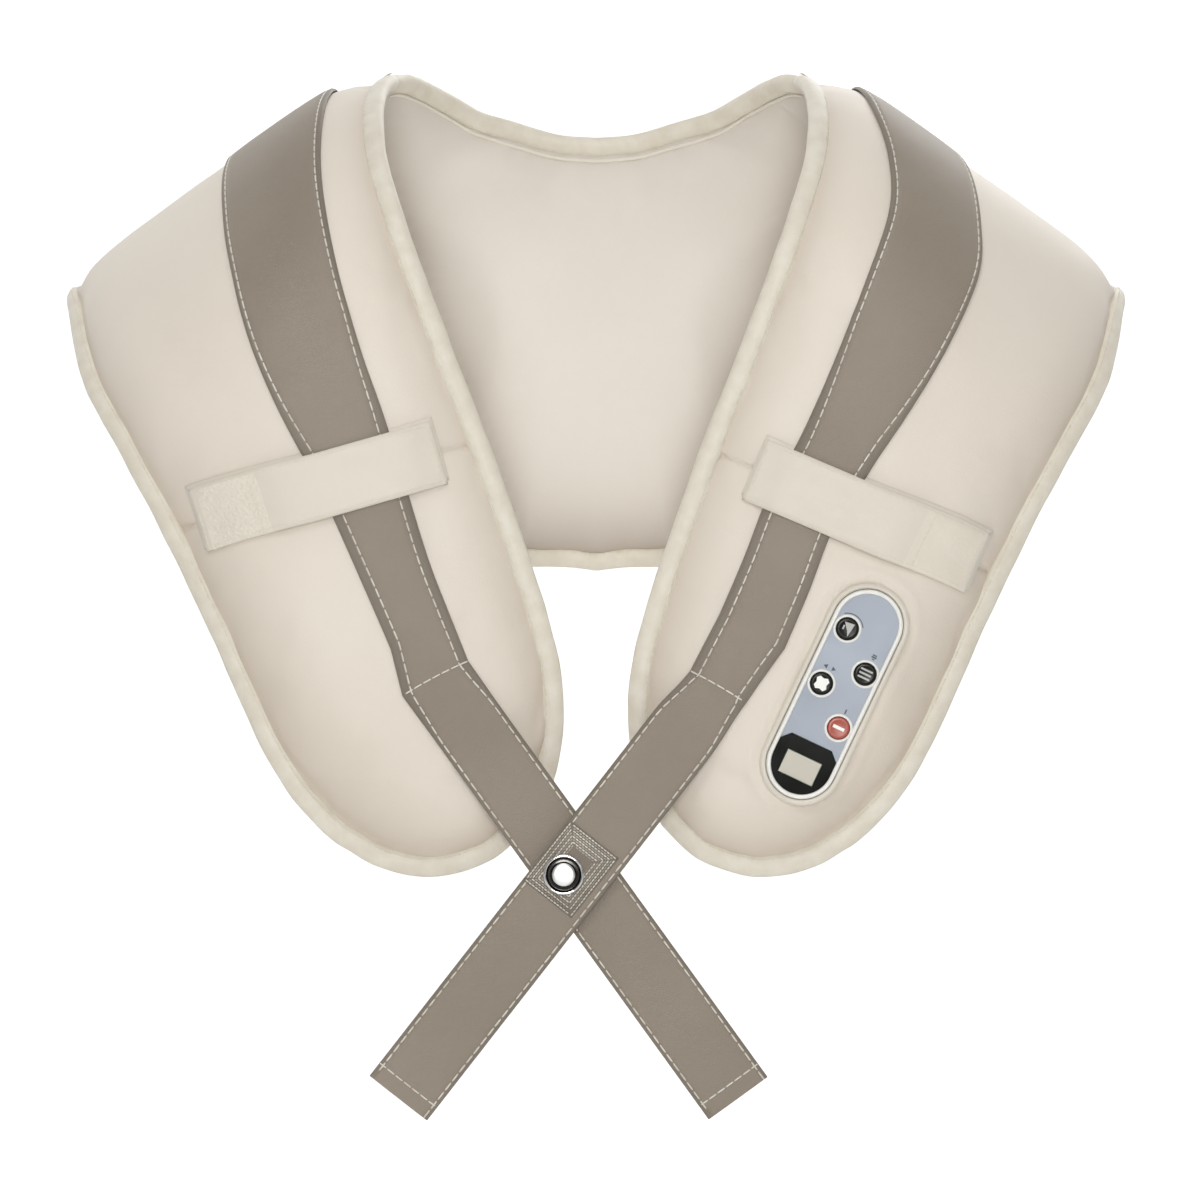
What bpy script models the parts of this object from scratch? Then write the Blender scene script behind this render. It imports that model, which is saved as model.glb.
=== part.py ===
"""Shawl massager for the neck and shoulders: a padded U-shaped shawl, two crossing straps,
a control pod on one front lobe and two kneading drives in the back panel.

Metres, +Z up, the wearer faces -Y. The origin is midway between the two points beside the neck
where the shawl rests on the shoulders. Left and right are as seen from the front.
"""

import math

import bmesh
import bpy
from mathutils import Matrix, Vector

MM = 0.001

# ---- the form that the shawl is draped on
NECK_X = 92 * MM            # half the neck opening, at the shoulder line
NECK_Z = 1 * MM
SHOULDER_FALL = 0.70        # slope of the shoulder line
TIP_X = 200 * MM            # beyond this the shoulder rounds off
TIP_RUN = 36 * MM
TIP_FALL = 12 * MM
ARCH = 155 * MM             # cloth from the shoulder line to where a panel hangs plumb
DROP = 100 * MM             # height of that arch
FRONT_DEPTH = (105 * MM, 75 * MM)   # near the neck, at the shoulder tip
BACK_DEPTH = (85 * MM, 65 * MM)
DEPTH_X = 120 * MM          # the depth changes from here outwards

# ---- layers, measured from the seam surface
FRONT_CROWN, BACK_CROWN = 12 * MM, 22 * MM      # outer side
FRONT_SKIN, BACK_SKIN = 9 * MM, 12 * MM         # side that touches the wearer
EDGE = 2.2 * MM             # height of both covers at the seam
CROWN_RUN = 24 * MM         # how far from the seam the padding reaches full height
SEAM_RUN = 3 * MM
COVER = 1.0 * MM
PAD_GAP = 0.8 * MM
COVER_INSET = 4.0           # from the seam to the edge of a cover, in mm
BINDING_R = 3.2 * MM

# ---- ribs from the centre of the back to the foot of a front lobe, in mm:
# neck-side x, neck-side distance past the shoulder line, hem-side x and distance.
RIBS = [
    (0, -107, 0, -303), (18, -104, 42, -294), (36, -94, 82, -270), (54, -80, 119, -236),
    (68, -60, 153, -192), (79, -38, 184, -146), (86, -19, 211, -99), (90, -8, 228, -52),
    (92, 2, 235, 0), (95.5, 34, 231, 44), (96, 66, 221, 96), (93, 96, 206, 138),
    (85, 130, 190, 178), (76, 161, 175, 218), (64, 199, 162, 254), (49, 244, 150, 289),
    (37, 282, 140, 317), (27, 314, 129, 343), (19, 345, 118, 363), (17, 371, 112, 373),
    (21, 394, 108, 379), (31, 411, 104, 384),
]
FOOT = len(RIBS) - 1
FOOT_ARC = [(31, 411), (45, 420), (64, 419), (79, 411), (93, 398), (104, 384)]
ACROSS = (0, 0.07, 0.17, 0.29, 0.43, 0.57, 0.71, 0.83, 0.93, 1)
BACK_END, FRONT_START = 5, 14   # ribs where the back pad ends and the front pads begin
PAD_SPLIT = 0.03                # half the gap between pads, in ribs

# ---- kneading drives
HEAD_X, HEAD_Z = 110 * MM, -112 * MM    # axis of the kneading head
GEAR_Y = 88 * MM                        # plane of the worm gear
WHEEL_R, TEETH = 20 * MM, 32            # pitch radius
WHEEL_THICK = 7 * MM
WORM_R = 4.5 * MM
LEAD = 2 * math.pi * WHEEL_R / TEETH
WORM_Z = HEAD_Z - WHEEL_R - WORM_R
WORM_LENGTH = 18 * MM
MOTOR_R, MOTOR_LENGTH = 10 * MM, 28 * MM
ARM_REACH = 20 * MM
NODE_R = 11 * MM
SHAFT_R = 3 * MM
WALL = 1.5 * MM
CASE_R = 26 * MM
CASE_BACK, CASE_FRONT = 99.9 * MM, 77.0 * MM
DOME_R, DOME_RUN, DOME = 42 * MM, 24 * MM, 15.5 * MM    # bulge of the lining over the head
POCKET_R = 34 * MM

# ---- control pod
POD = Vector((101.7 * MM, -117 * MM, -271.9 * MM))
POD_TILT = math.radians(25.4)
POD_HALF = 32.7 * MM        # from its centre to the centre of each round end
POD_R = 16.6 * MM
FACE_R = 13.4 * MM
BUTTON_R = 4.7 * MM
BUTTONS = {                 # up the pod, across the pod
    "strength_button": (27.5 * MM, -7.1 * MM),
    "mode_button": (13.3 * MM, 8.0 * MM),
    "direction_button": (1.8 * MM, -7.1 * MM),
    "power_button": (-12.3 * MM, 7.6 * MM),
}
WINDOW_TOP = -22.8 * MM
SCREEN = (16.5 * MM, 11 * MM)
SCREEN_U = -34.5 * MM

# ---- straps
STRAP = 2 * MM
STRAP_LIFT = 2 * MM         # above the cover
LOWER_HALF = 15.5 * MM
CROSSING = Vector((-13.6 * MM, 0, -348 * MM))
SEAM_Y = -119.2 * MM        # wearer's side of both lower straps where they are sewn on
UNDER_Y, OVER_Y = -121.4 * MM, -126.8 * MM    # and where they cross
LEFT_SEAM = ((-82.4, -272.6), (-54.3, -257.7))
RIGHT_SEAM = ((40.2, -261.9), (64.1, -275.6))
LEFT_TAIL, RIGHT_TAIL = (60.5, -443.5), (-83.7, -442.9)
# upper straps in mm: distance past the shoulder line, inner edge x, outer edge x
LEFT_UPPER = [(-72, 110, 150), (-36, 110, 152), (0, 110, 155), (42, 113, 157), (82, 114, 154.5),
              (112, 112, 150), (146, 107, 143), (176, 100, 134), (206, 91.5, 123.5),
              (240, 82.5, 111.5), (282, 71.6, 97.3), (312, 62, 87.3)]
RIGHT_UPPER = [(-72, 110, 148), (-36, 109, 149), (0, 109, 151), (42, 115, 158), (76, 121, 160),
               (104, 121.6, 158.6), (141, 113, 147), (178, 102, 132.6), (222, 87, 114),
               (250, 75, 101.5), (286, 63.3, 90.5), (316, 52.5, 80.5)]
# keepers in mm: centre of the inner end, centre of the outer end (x, z)
KEEPERS = {"left": ((-66.8, -168.8), (-167.6, -197.7)), "right": ((67.7, -176), (161, -216))}
KEEPER_HALF = 14 * MM
FLAP, FLAP_LIFT = 1.4 * MM, 1.9 * MM

INLET = Vector((40 * MM, 109.2 * MM, -172 * MM))


# ------------------------------------------------------------------ scene and materials

def clear_scene():
    for item in list(bpy.data.objects):
        bpy.data.objects.remove(item)


def new_collection(name):
    made = bpy.data.collections.new(name)
    bpy.context.scene.collection.children.link(made)
    return made


def new_material(name, colour, roughness, metallic=0.0):
    made = bpy.data.materials.new(name)
    made.use_nodes = True
    shader = made.node_tree.nodes["Principled BSDF"]
    shader.inputs["Base Color"].default_value = (*colour, 1)
    shader.inputs["Roughness"].default_value = roughness
    shader.inputs["Metallic"].default_value = metallic
    return made


clear_scene()
PARTS = new_collection("shawl_massager")
CUTTERS = new_collection("cutters")

CREAM = new_material("cream_cover", (0.74, 0.69, 0.60), 0.55)
LINING = new_material("cream_lining", (0.76, 0.70, 0.62), 0.7)
TAPE = new_material("edge_tape", (0.72, 0.67, 0.56), 0.6)
TAUPE = new_material("taupe_strap", (0.28, 0.24, 0.19), 0.55)
FOAM = new_material("foam", (0.80, 0.78, 0.70), 0.9)
CHROME = new_material("chrome", (0.85, 0.85, 0.85), 0.1, 1.0)
STEEL = new_material("steel", (0.6, 0.6, 0.6), 0.3, 1.0)
BRASS = new_material("brass", (0.75, 0.58, 0.28), 0.3, 1.0)
WHITE = new_material("white_plastic", (0.80, 0.78, 0.70), 0.35)
BLUE = new_material("blue_overlay", (0.42, 0.47, 0.55), 0.4)
BLACK = new_material("black_plastic", (0.02, 0.02, 0.02), 0.3)
RED = new_material("red_plastic", (0.45, 0.12, 0.08), 0.35)
SCREEN_GREY = new_material("screen", (0.52, 0.50, 0.42), 0.3)
GREEN = new_material("circuit_board", (0.05, 0.22, 0.10), 0.5)
NYLON = new_material("nylon", (0.75, 0.74, 0.70), 0.45)
CABLE = new_material("cable", (0.05, 0.05, 0.05), 0.5)


# ------------------------------------------------------------------ modelling helpers

def add_object(name, data, material, matrix=None, collection=None):
    item = bpy.data.objects.new(name, data)
    (collection or PARTS).objects.link(item)
    if material:
        data.materials.append(material)
    if matrix is not None:
        item.matrix_world = matrix
    return item


def mesh_from(bm, name):
    bmesh.ops.recalc_face_normals(bm, faces=bm.faces[:])
    data = bpy.data.meshes.new(name)
    bm.to_mesh(data)
    bm.free()
    return data


def as_cutter(item):
    for owner in list(item.users_collection):
        owner.objects.unlink(item)
    CUTTERS.objects.link(item)
    item.hide_render = True
    item.display_type = "WIRE"
    return item


def boolean(item, cutter, operation="DIFFERENCE"):
    modifier = item.modifiers.new(operation.lower(), "BOOLEAN")
    modifier.operation = operation
    modifier.object = as_cutter(cutter)


def carry(child, parent):
    """Parents one placed object to another without moving it."""
    bpy.context.view_layer.update()
    child.parent = parent
    child.matrix_parent_inverse = parent.matrix_world.inverted()


def as_mesh(item):
    """The curve object as a mesh object with its caps welded."""
    bpy.context.view_layer.update()
    graph = bpy.context.evaluated_depsgraph_get()
    data = bpy.data.meshes.new_from_object(item.evaluated_get(graph))
    bm = bmesh.new()
    bm.from_mesh(data)
    bmesh.ops.remove_doubles(bm, verts=bm.verts[:], dist=1e-6)
    bmesh.ops.recalc_face_normals(bm, faces=bm.faces[:])
    bm.to_mesh(data)
    bm.free()
    name, place = item.name, item.matrix_world.copy()
    material = item.data.materials[0] if item.data.materials else None
    bpy.data.objects.remove(item)
    data.materials.clear()
    return add_object(name, data, material, place)


def frame_at(origin, x_axis, y_axis):
    """Matrix whose local axes are x_axis, y_axis and their cross product."""
    x, y = Vector(x_axis).normalized(), Vector(y_axis).normalized()
    z = x.cross(y)
    turn = Matrix((x, y, z)).transposed().to_4x4()
    return Matrix.Translation(origin) @ turn


def box(name, low, high, material=None):
    bm = bmesh.new()
    bmesh.ops.create_cube(bm, size=1)
    low, high = Vector(low), Vector(high)
    for vert in bm.verts:
        vert.co = Vector([low[k] + (vert.co[k] + 0.5) * (high[k] - low[k]) for k in range(3)])
    return add_object(name, mesh_from(bm, name), material)


def rod(name, start, end, radius, material=None, segments=20):
    """Cylinder between two points."""
    start, end = Vector(start), Vector(end)
    bm = bmesh.new()
    bmesh.ops.create_cone(bm, cap_ends=True, segments=segments, radius1=radius, radius2=radius,
                          depth=(end - start).length)
    turn = (end - start).to_track_quat("Z", "Y").to_matrix().to_4x4()
    place = Matrix.Translation((start + end) / 2) @ turn
    return add_object(name, mesh_from(bm, name), material, place)


def turned(name, profile, place, material, steps=20):
    """Profile of (radius, height) from the top of the axis down its outer side, turned about local Z."""
    bm = bmesh.new()
    verts = [bm.verts.new((radius, 0, height)) for radius, height in profile]
    for first, second in zip(verts, verts[1:]):
        bm.edges.new((first, second))
    data = bpy.data.meshes.new(name)
    bm.to_mesh(data)
    bm.free()
    item = add_object(name, data, material, place)
    screw = item.modifiers.new("turn", "SCREW")
    screw.steps = screw.render_steps = steps
    screw.use_merge_vertices = True
    screw.merge_threshold = 1e-6
    return item


def tube(name, points, radius, material, resolution=1):
    curve = bpy.data.curves.new(name, "CURVE")
    curve.dimensions = "3D"
    spline = curve.splines.new("POLY")
    spline.points.add(len(points) - 1)
    for slot, point in zip(spline.points, points):
        slot.co = (*point, 1)
    curve.bevel_depth = radius
    curve.bevel_resolution = resolution
    curve.use_fill_caps = True
    return add_object(name, curve, material)


def plate(name, outlines, low, high, place, material):
    """Flat plate between local heights low and high. Outlines after the first are holes."""
    curve = bpy.data.curves.new(name, "CURVE")
    curve.dimensions = "2D"
    curve.fill_mode = "BOTH"
    curve.extrude = (high - low) / 2
    for outline in outlines:
        spline = curve.splines.new("POLY")
        spline.points.add(len(outline) - 1)
        for slot, point in zip(spline.points, outline):
            slot.co = (point[0], point[1], 0, 1)
        spline.use_cyclic_u = True
    offset = Matrix.Translation((0, 0, (low + high) / 2))
    return as_mesh(add_object(name, curve, material, place @ offset))


def circle(radius, centre=(0, 0), count=24):
    steps = [2 * math.pi * k / count for k in range(count)]
    return [(centre[0] + radius * math.cos(a), centre[1] + radius * math.sin(a)) for a in steps]


def stadium(radius, half, count=12):
    """Two half circles a distance 2 * half apart along local Y."""
    ends = []
    for sign, start in ((1, 0), (-1, math.pi)):
        for k in range(count + 1):
            angle = start + math.pi * k / count
            ends.append((radius * math.cos(angle), sign * half + radius * math.sin(angle)))
    return ends


def slab(name, columns, rows, near, far, material, origin=Vector()):
    """Closed solid between two surfaces near(u, v) and far(u, v) over the same stations."""
    bm = bmesh.new()
    bmesh.ops.create_grid(bm, x_segments=len(columns) - 1, y_segments=len(rows) - 1, size=1)
    column_of = bm.verts.layers.int.new("column")
    row_of = bm.verts.layers.int.new("row")
    for vert in bm.verts:
        vert[column_of] = round((vert.co.x + 1) / 2 * (len(columns) - 1))
        vert[row_of] = round((vert.co.y + 1) / 2 * (len(rows) - 1))
    bmesh.ops.triangulate(bm, faces=bm.faces[:], quad_method="FIXED")
    raised = bmesh.ops.extrude_face_region(bm, geom=bm.faces[:], use_keep_orig=True)["geom"]
    upper = {vert for vert in raised if isinstance(vert, bmesh.types.BMVert)}
    for vert in bm.verts:
        side = far if vert in upper else near
        vert.co = side(columns[vert[column_of]], rows[vert[row_of]]) - origin
    return add_object(name, mesh_from(bm, name), material, Matrix.Translation(origin))


# ------------------------------------------------------------------ the draped surface

def smooth(t):
    t = min(max(t, 0), 1)
    return t * t * (3 - 2 * t)


def ridge(x):
    """Height of the shoulder line."""
    x = abs(x)
    if x < NECK_X:
        return NECK_Z + SHOULDER_FALL / (2 * NECK_X) * (NECK_X ** 2 - x * x)
    tip = max(x - TIP_X, 0) / TIP_RUN
    return NECK_Z - SHOULDER_FALL * (x - NECK_X) - TIP_FALL * tip * tip


def cloth(x, run):
    """Seam surface at x and at a distance run past the shoulder line, positive in front."""
    near, far = FRONT_DEPTH if run > 0 else BACK_DEPTH
    depth = near - (near - far) * smooth((abs(x) - DEPTH_X) / DEPTH_X)
    angle = min(abs(run) / ARCH, 1) * math.pi / 2
    y = depth * math.sin(angle)
    z = ridge(x) - DROP * (1 - math.cos(angle)) - max(abs(run) - ARCH, 0)
    return Vector((x, -y if run > 0 else y, z))


def outward(x, run):
    """Unit normal of the seam surface, away from the wearer."""
    step = 2 * MM
    across = cloth(x + step, run) - cloth(x - step, run)
    along = cloth(x, run + step) - cloth(x, run - step)
    normal = along.cross(across)
    if normal.length < 1e-12:
        return Vector((0, 0, 1))
    normal.normalize()
    reference = Vector((0, -1 if run > 0 else 1, 0.3))
    return normal if normal.dot(reference) > 0 else -normal


def run_at(x, z):
    """Distance past the shoulder line of the front surface at height z."""
    fall = max(ridge(x) - z, 0)
    if fall < DROP:
        return ARCH * math.acos(1 - fall / DROP) / (math.pi / 2)
    return ARCH + fall - DROP


def through(points, position):
    """Point of a Catmull-Rom curve through the points, at a position counted in points."""
    last = len(points) - 1
    position = min(max(position, 0), last)
    index = min(int(position), last - 1)
    t = position - index
    p0 = points[max(index - 1, 0)]
    p1, p2 = points[index], points[index + 1]
    p3 = points[min(index + 2, last)]
    return tuple(
        0.5 * (2 * b + (c - a) * t + (2 * a - 5 * b + 4 * c - d) * t * t
               + (3 * b - a - 3 * c + d) * t ** 3)
        for a, b, c, d in zip(p0, p1, p2, p3)
    )


def shrink(inset):
    """The ribs and the foot arc moved in from the seam, all in mm."""
    hem = [rib[2:] for rib in RIBS]
    chain = [rib[:2] for rib in RIBS] + FOOT_ARC[1:-1] + hem[::-1]
    moved = []
    for index, (x, run) in enumerate(chain):
        before = chain[index - 1] if index else (-chain[1][0], chain[1][1])
        after = chain[index + 1] if index + 1 < len(chain) else (-chain[-2][0], chain[-2][1])
        dx, dy = after[0] - before[0], after[1] - before[1]
        length = math.hypot(dx, dy)
        moved.append((x + inset * dy / length, run - inset * dx / length))
    hem = moved[:-FOOT - 2:-1]
    return [near + far for near, far in zip(moved, hem)], moved[FOOT:-FOOT]


def pattern(u, rib, edges=(RIBS, FOOT_ARC)):
    """Flat-pattern point (x, run): u from neck side to hem side, rib negative on the left half."""
    ribs, arc = edges
    position = abs(rib)
    x0, run0, x1, run1 = through(ribs, position)
    (corner_x, corner_run), (end_x, end_run) = arc[0], arc[-1]
    arc_x, arc_run = through(arc, u * (len(arc) - 1))
    round_off = smooth((position - FOOT + 6) / 6) ** 2
    x = x0 + u * (x1 - x0) + round_off * (arc_x - corner_x - u * (end_x - corner_x))
    run = run0 + u * (run1 - run0) + round_off * (arc_run - corner_run - u * (end_run - corner_run))
    return math.copysign(x, rib) * MM, run * MM


CUT = shrink(COVER_INSET)
OUTLINE = [pattern(0, k / 4) for k in range(4 * FOOT)]
OUTLINE += [pattern(k / 24, FOOT) for k in range(24)]
OUTLINE += [pattern(1, k / 4) for k in range(4 * FOOT, -1, -1)]


def seam_distance(x, run):
    """Distance to the nearest edge of the pattern."""
    x = abs(x)
    best = 1.0
    for (ax, ay), (bx, by) in zip(OUTLINE, OUTLINE[1:]):
        dx, dy = bx - ax, by - ay
        length = dx * dx + dy * dy
        t = min(max(((x - ax) * dx + (run - ay) * dy) / length, 0), 1) if length > 0 else 0
        best = min(best, math.hypot(x - ax - t * dx, run - ay - t * dy))
    return best


def back_share(run):
    return smooth((-run - 40 * MM) / (80 * MM))


def crown(x, run, front_height, back_height):
    height = front_height + (back_height - front_height) * back_share(run)
    rise = smooth((seam_distance(x, run) - SEAM_RUN) / CROWN_RUN)
    return EDGE + (height - EDGE) * rise


def dome(x, run):
    """Extra height of the lining over a kneading head."""
    if run > 0:
        return 0
    point = cloth(x, run)
    distance = math.hypot(abs(point.x) - HEAD_X, point.z - HEAD_Z)
    return DOME * smooth((DOME_R + DOME_RUN - distance) / DOME_RUN)


def outer_layer(below):
    """Surface (u, rib) a distance below the outer skin."""
    def place(u, rib):
        x, run = pattern(u, rib, CUT)
        return cloth(x, run) + (crown(x, run, FRONT_CROWN, BACK_CROWN) - below) * outward(x, run)
    return place


def skin_layer(below, domed):
    """Surface (u, rib) a distance inside the side that touches the wearer."""
    def place(u, rib):
        x, run = pattern(u, rib, CUT)
        height = crown(x, run, FRONT_SKIN, BACK_SKIN) + (dome(x, run) if domed else 0)
        return cloth(x, run) - (height - below) * outward(x, run)
    return place


def rows(start, end):
    """Stations along the shawl: close together over the back and the shoulders, wide on the lobes."""
    half = [k / 2 for k in range(24)] + list(range(12, FOOT + 1)) + [FOOT - 0.5]
    every = {float(rib) for rib in half} | {-float(rib) for rib in half}
    return [start] + sorted(rib for rib in every if start < rib < end) + [end]


# ------------------------------------------------------------------ soft parts

def make_covers():
    whole = rows(-FOOT, FOOT)
    slab("outer_cover", ACROSS, whole, outer_layer(COVER), outer_layer(0), CREAM)
    slab("inner_lining", ACROSS, whole, skin_layer(0, True), skin_layer(COVER, True), LINING)


def make_pads():
    """One pad in the back; one on each shoulder; one in each front lobe."""
    depth = COVER + PAD_GAP
    columns = ACROSS[1:-1]

    def pad(name, start, end):
        low, high = sorted((start, end))
        return slab(name, columns, rows(low, high), skin_layer(depth, False), outer_layer(depth), FOAM)

    pads = {"back": pad("back_pad", PAD_SPLIT - BACK_END, BACK_END - PAD_SPLIT)}
    for side, sign in (("left", -1), ("right", 1)):
        pads[f"{side}_shoulder"] = pad(f"{side}_shoulder_pad", sign * (BACK_END + PAD_SPLIT),
                                       sign * (FRONT_START - PAD_SPLIT))
        pads[f"{side}_front"] = pad(f"{side}_front_pad", sign * (FRONT_START + PAD_SPLIT),
                                    sign * (FOOT - 0.5))
    return pads


def make_bindings():
    neck = [cloth(*pattern(0, rib)) for rib in rows(-7.5, 7.5)]
    tube("neckline_binding", neck, BINDING_R, TAPE)
    edge = [pattern(0, rib) for rib in rows(8, FOOT)]
    edge += [pattern(u, FOOT) for u in ACROSS[1:-1]]
    edge += [pattern(1, rib) for rib in rows(0, FOOT)[::-1]]
    right = [cloth(*point) for point in edge]
    left = [Vector((-p.x, p.y, p.z)) for p in right[-2::-1]]
    tube("hem_binding", right + left, BINDING_R, TAPE)


def strap_point(x, run, lift):
    height = FRONT_CROWN + (BACK_CROWN - FRONT_CROWN) * back_share(run)
    return cloth(x, run) + (height + lift) * outward(x, run)


def make_upper_strap(side, sign, stations, seam):
    """Strap over the shoulder, down to the slanted seam where the lower strap begins."""
    end = [(abs(x) * MM, run_at(x * MM, (z + 0.5) * MM)) for x, z in seam]
    end.sort()

    def edge(u, station):
        last = len(stations) - 1
        if station > last:
            run0, inner0, outer0 = stations[last]
            t = station - last
            (inner_x, inner_run), (outer_x, outer_run) = end
            first = Vector((inner0 * MM, run0 * MM)).lerp(Vector((inner_x, inner_run)), t)
            second = Vector((outer0 * MM, run0 * MM)).lerp(Vector((outer_x, outer_run)), t)
            return first.lerp(second, u)
        run, inner_x, outer_x = through(stations, station)
        return Vector(((inner_x + u * (outer_x - inner_x)) * MM, run * MM))

    def face(lift):
        def place(u, station):
            x, run = edge(u, station)
            return strap_point(sign * x, run, lift)
        return place

    steps = [k / 2 for k in range(2 * len(stations) - 1)] + [float(len(stations))]
    slab(f"{side}_upper_strap", (0, 0.5, 1), steps, face(STRAP_LIFT), face(STRAP_LIFT + STRAP), TAUPE)


def make_lower_strap(side, seam, tail, lift_at):
    """Straight strap from the seam through the crossing to its tail."""
    top = [Vector((x * MM, 0, z * MM)) for x, z in seam]
    start = (top[0] + top[1]) / 2
    end = Vector((tail[0] * MM, 0, tail[1] * MM))
    along = (end - start).normalized()
    across = Vector((0, 1, 0)).cross(along)
    if across.x < 0:
        across = -across
    length = (end - start).length

    def face(extra):
        def place(u, t):
            middle = start.lerp(end, t)
            sides = (middle - across * LOWER_HALF, middle + across * LOWER_HALF)
            blend = smooth(t * length / (26 * MM))
            point = top[0].lerp(top[1], u).lerp(sides[0].lerp(sides[1], u), blend)
            point.y = lift_at(t * length) - extra
            return point
        return place

    steps = [0, 0.05, 0.1, 0.16, 0.24, 0.34, 0.5, 0.75, 1]
    hinge = Vector((start.x, SEAM_Y - STRAP, start.z))
    return slab(f"{side}_lower_strap", (0, 0.25, 0.5, 0.75, 1), steps, face(0), face(STRAP), TAUPE, hinge)


def keeper_frame(side):
    """Start, direction along the keeper, direction up the lobe, length."""
    (x0, z0), (x1, z1) = KEEPERS[side]
    start, end = Vector((x0 * MM, 0, z0 * MM)), Vector((x1 * MM, 0, z1 * MM))
    along = (end - start).normalized()
    up = Vector((-along.z, 0, along.x))
    return start, along, up if up.z > 0 else -up, (end - start).length


def make_keeper(side):
    """A base strip sewn to the lobe and a flap that closes over the strap onto it."""
    start, along, up, length = keeper_frame(side)

    def face(lift, grow):
        def place(u, distance):
            flat = start + along * distance + up * (2 * u - 1) * (KEEPER_HALF + grow)
            run = run_at(flat.x, flat.z)
            return strap_point(flat.x, run, lift(distance))
        return place

    def bump(distance):
        rise = smooth((distance - 1 * MM) / (11 * MM))
        fall = smooth((length - 18 * MM - distance) / (16 * MM))
        return FLAP_LIFT + 2.9 * MM * min(rise, fall)

    stops = [0, 4, 8, 12, 24, 38, 52, 66, 74, 80, 86]
    flap_rows = [d * MM for d in stops] + [length]
    hinge = strap_point(start.x, run_at(start.x, start.z), FLAP_LIFT + FLAP / 2)
    slab(f"{side}_keeper_flap", (0, 0.5, 1), flap_rows, face(bump, 0),
         face(lambda d: bump(d) + FLAP, 0), CREAM, hinge)
    base_rows = [length * k / 8 for k in range(9)]
    slab(f"{side}_keeper_base", (0, 0.5, 1), base_rows, face(lambda d: 0.7 * MM, 0.8 * MM),
         face(lambda d: 1.3 * MM, 0.8 * MM), CREAM)


def make_straps():
    for side, sign, stations, seam in (("left", -1, LEFT_UPPER, LEFT_SEAM),
                                       ("right", 1, RIGHT_UPPER, RIGHT_SEAM)):
        make_upper_strap(side, sign, stations, seam)
        make_keeper(side)

    def settle(depth):
        return lambda distance: SEAM_Y + (depth - SEAM_Y) * smooth(distance / (70 * MM))

    under = make_lower_strap("left", LEFT_SEAM, LEFT_TAIL, settle(UNDER_Y))
    over = make_lower_strap("right", RIGHT_SEAM, RIGHT_TAIL, settle(OVER_Y))
    return under, over


def make_snap(under, over):
    """Box-stitched patch and the four pieces of the press stud, on one axis at the crossing."""
    along = Vector((-0.62, 0, -0.785)).normalized()
    across = Vector((0, 1, 0)).cross(along)
    place = frame_at(CROSSING, across, along)
    if (place @ Vector((0, 0, 1)) - CROSSING).y > 0:
        place = frame_at(CROSSING, along, across)
    half = 13.5 * MM
    hole = 2.6 * MM
    square = [(-half, -half), (half, -half), (half, half), (-half, half)]
    front = -OVER_Y + STRAP + 0.3 * MM
    patch = plate("strap_patch", [square, circle(hole, count=16)], front, front + 1 * MM, place, TAUPE)
    for strap, y in ((over, OVER_Y), (under, UNDER_Y)):
        cutter = rod(f"{strap.name}_hole", (CROSSING.x, y + 4 * MM, CROSSING.z),
                     (CROSSING.x, y - 6 * MM, CROSSING.z), hole, segments=16)
        boolean(strap, cutter)
    top = front + 1.3 * MM
    shank = 2.1 * MM
    cap = turned("snap_cap", [(0, top + 2.6 * MM), (3 * MM, top + 2.5 * MM), (5.6 * MM, top + 1.9 * MM),
                        (7.2 * MM, top + 1.1 * MM), (8 * MM, top + 0.5 * MM), (7.8 * MM, top),
                        (shank, top), (shank, -OVER_Y), (0, -OVER_Y)],
           place, CHROME, 24)
    back = -OVER_Y - 0.3 * MM
    socket = turned("snap_socket", [(0, back), (6 * MM, back), (6.2 * MM, back - 1.2 * MM),
                           (5.6 * MM, back - 1.7 * MM), (3.5 * MM, back - 1.7 * MM),
                           (3.3 * MM, back - 0.5 * MM), (0, back - 0.5 * MM)], place, CHROME, 20)
    face = -UNDER_Y + STRAP + 0.3 * MM
    stud = turned("snap_stud", [(0, face + 2 * MM), (1.8 * MM, face + 1.9 * MM), (2.5 * MM, face + 1.4 * MM),
                         (2.2 * MM, face + 0.7 * MM), (6 * MM, face + 0.6 * MM), (6 * MM, face),
                         (0, face)], place, CHROME, 20)
    rear = -UNDER_Y - 0.3 * MM
    post = turned("snap_post", [(0, rear + 2.1 * MM), (shank, rear + 2.1 * MM), (shank, rear),
                         (5.5 * MM, rear), (5.2 * MM, rear - 0.8 * MM), (0, rear - 0.8 * MM)],
           place, CHROME, 20)
    for item, strap in ((patch, over), (cap, over), (socket, over), (stud, under), (post, under)):
        carry(item, strap)


# ------------------------------------------------------------------ control pod

def pod_frame():
    """Local X across the pod, Y up the pod, Z away from the lobe."""
    up = Vector((math.sin(POD_TILT), 0, math.cos(POD_TILT)))
    across = Vector((math.cos(POD_TILT), 0, -math.sin(POD_TILT)))
    return frame_at(POD, across, up)


def make_pod(place):
    plate("control_bezel", [stadium(POD_R, POD_HALF), stadium(FACE_R + 0.35 * MM, POD_HALF)],
          -3.2 * MM, 3.5 * MM, place, WHITE)
    case = plate("control_back_case", [stadium(POD_R - 1 * MM, POD_HALF)],
                 -15 * MM, -3.6 * MM, place, WHITE)
    hollow = plate("case_hollow", [stadium(POD_R - 2.4 * MM, POD_HALF)],
                   -13.6 * MM, 0, place, None)
    boolean(case, hollow)
    plate("control_board", [stadium(FACE_R, POD_HALF)], -6.2 * MM, -4.8 * MM, place, GREEN)
    make_face(place)
    for name, (up, across) in BUTTONS.items():
        make_button(name, place @ Matrix.Translation((across, up, 0)))


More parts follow.
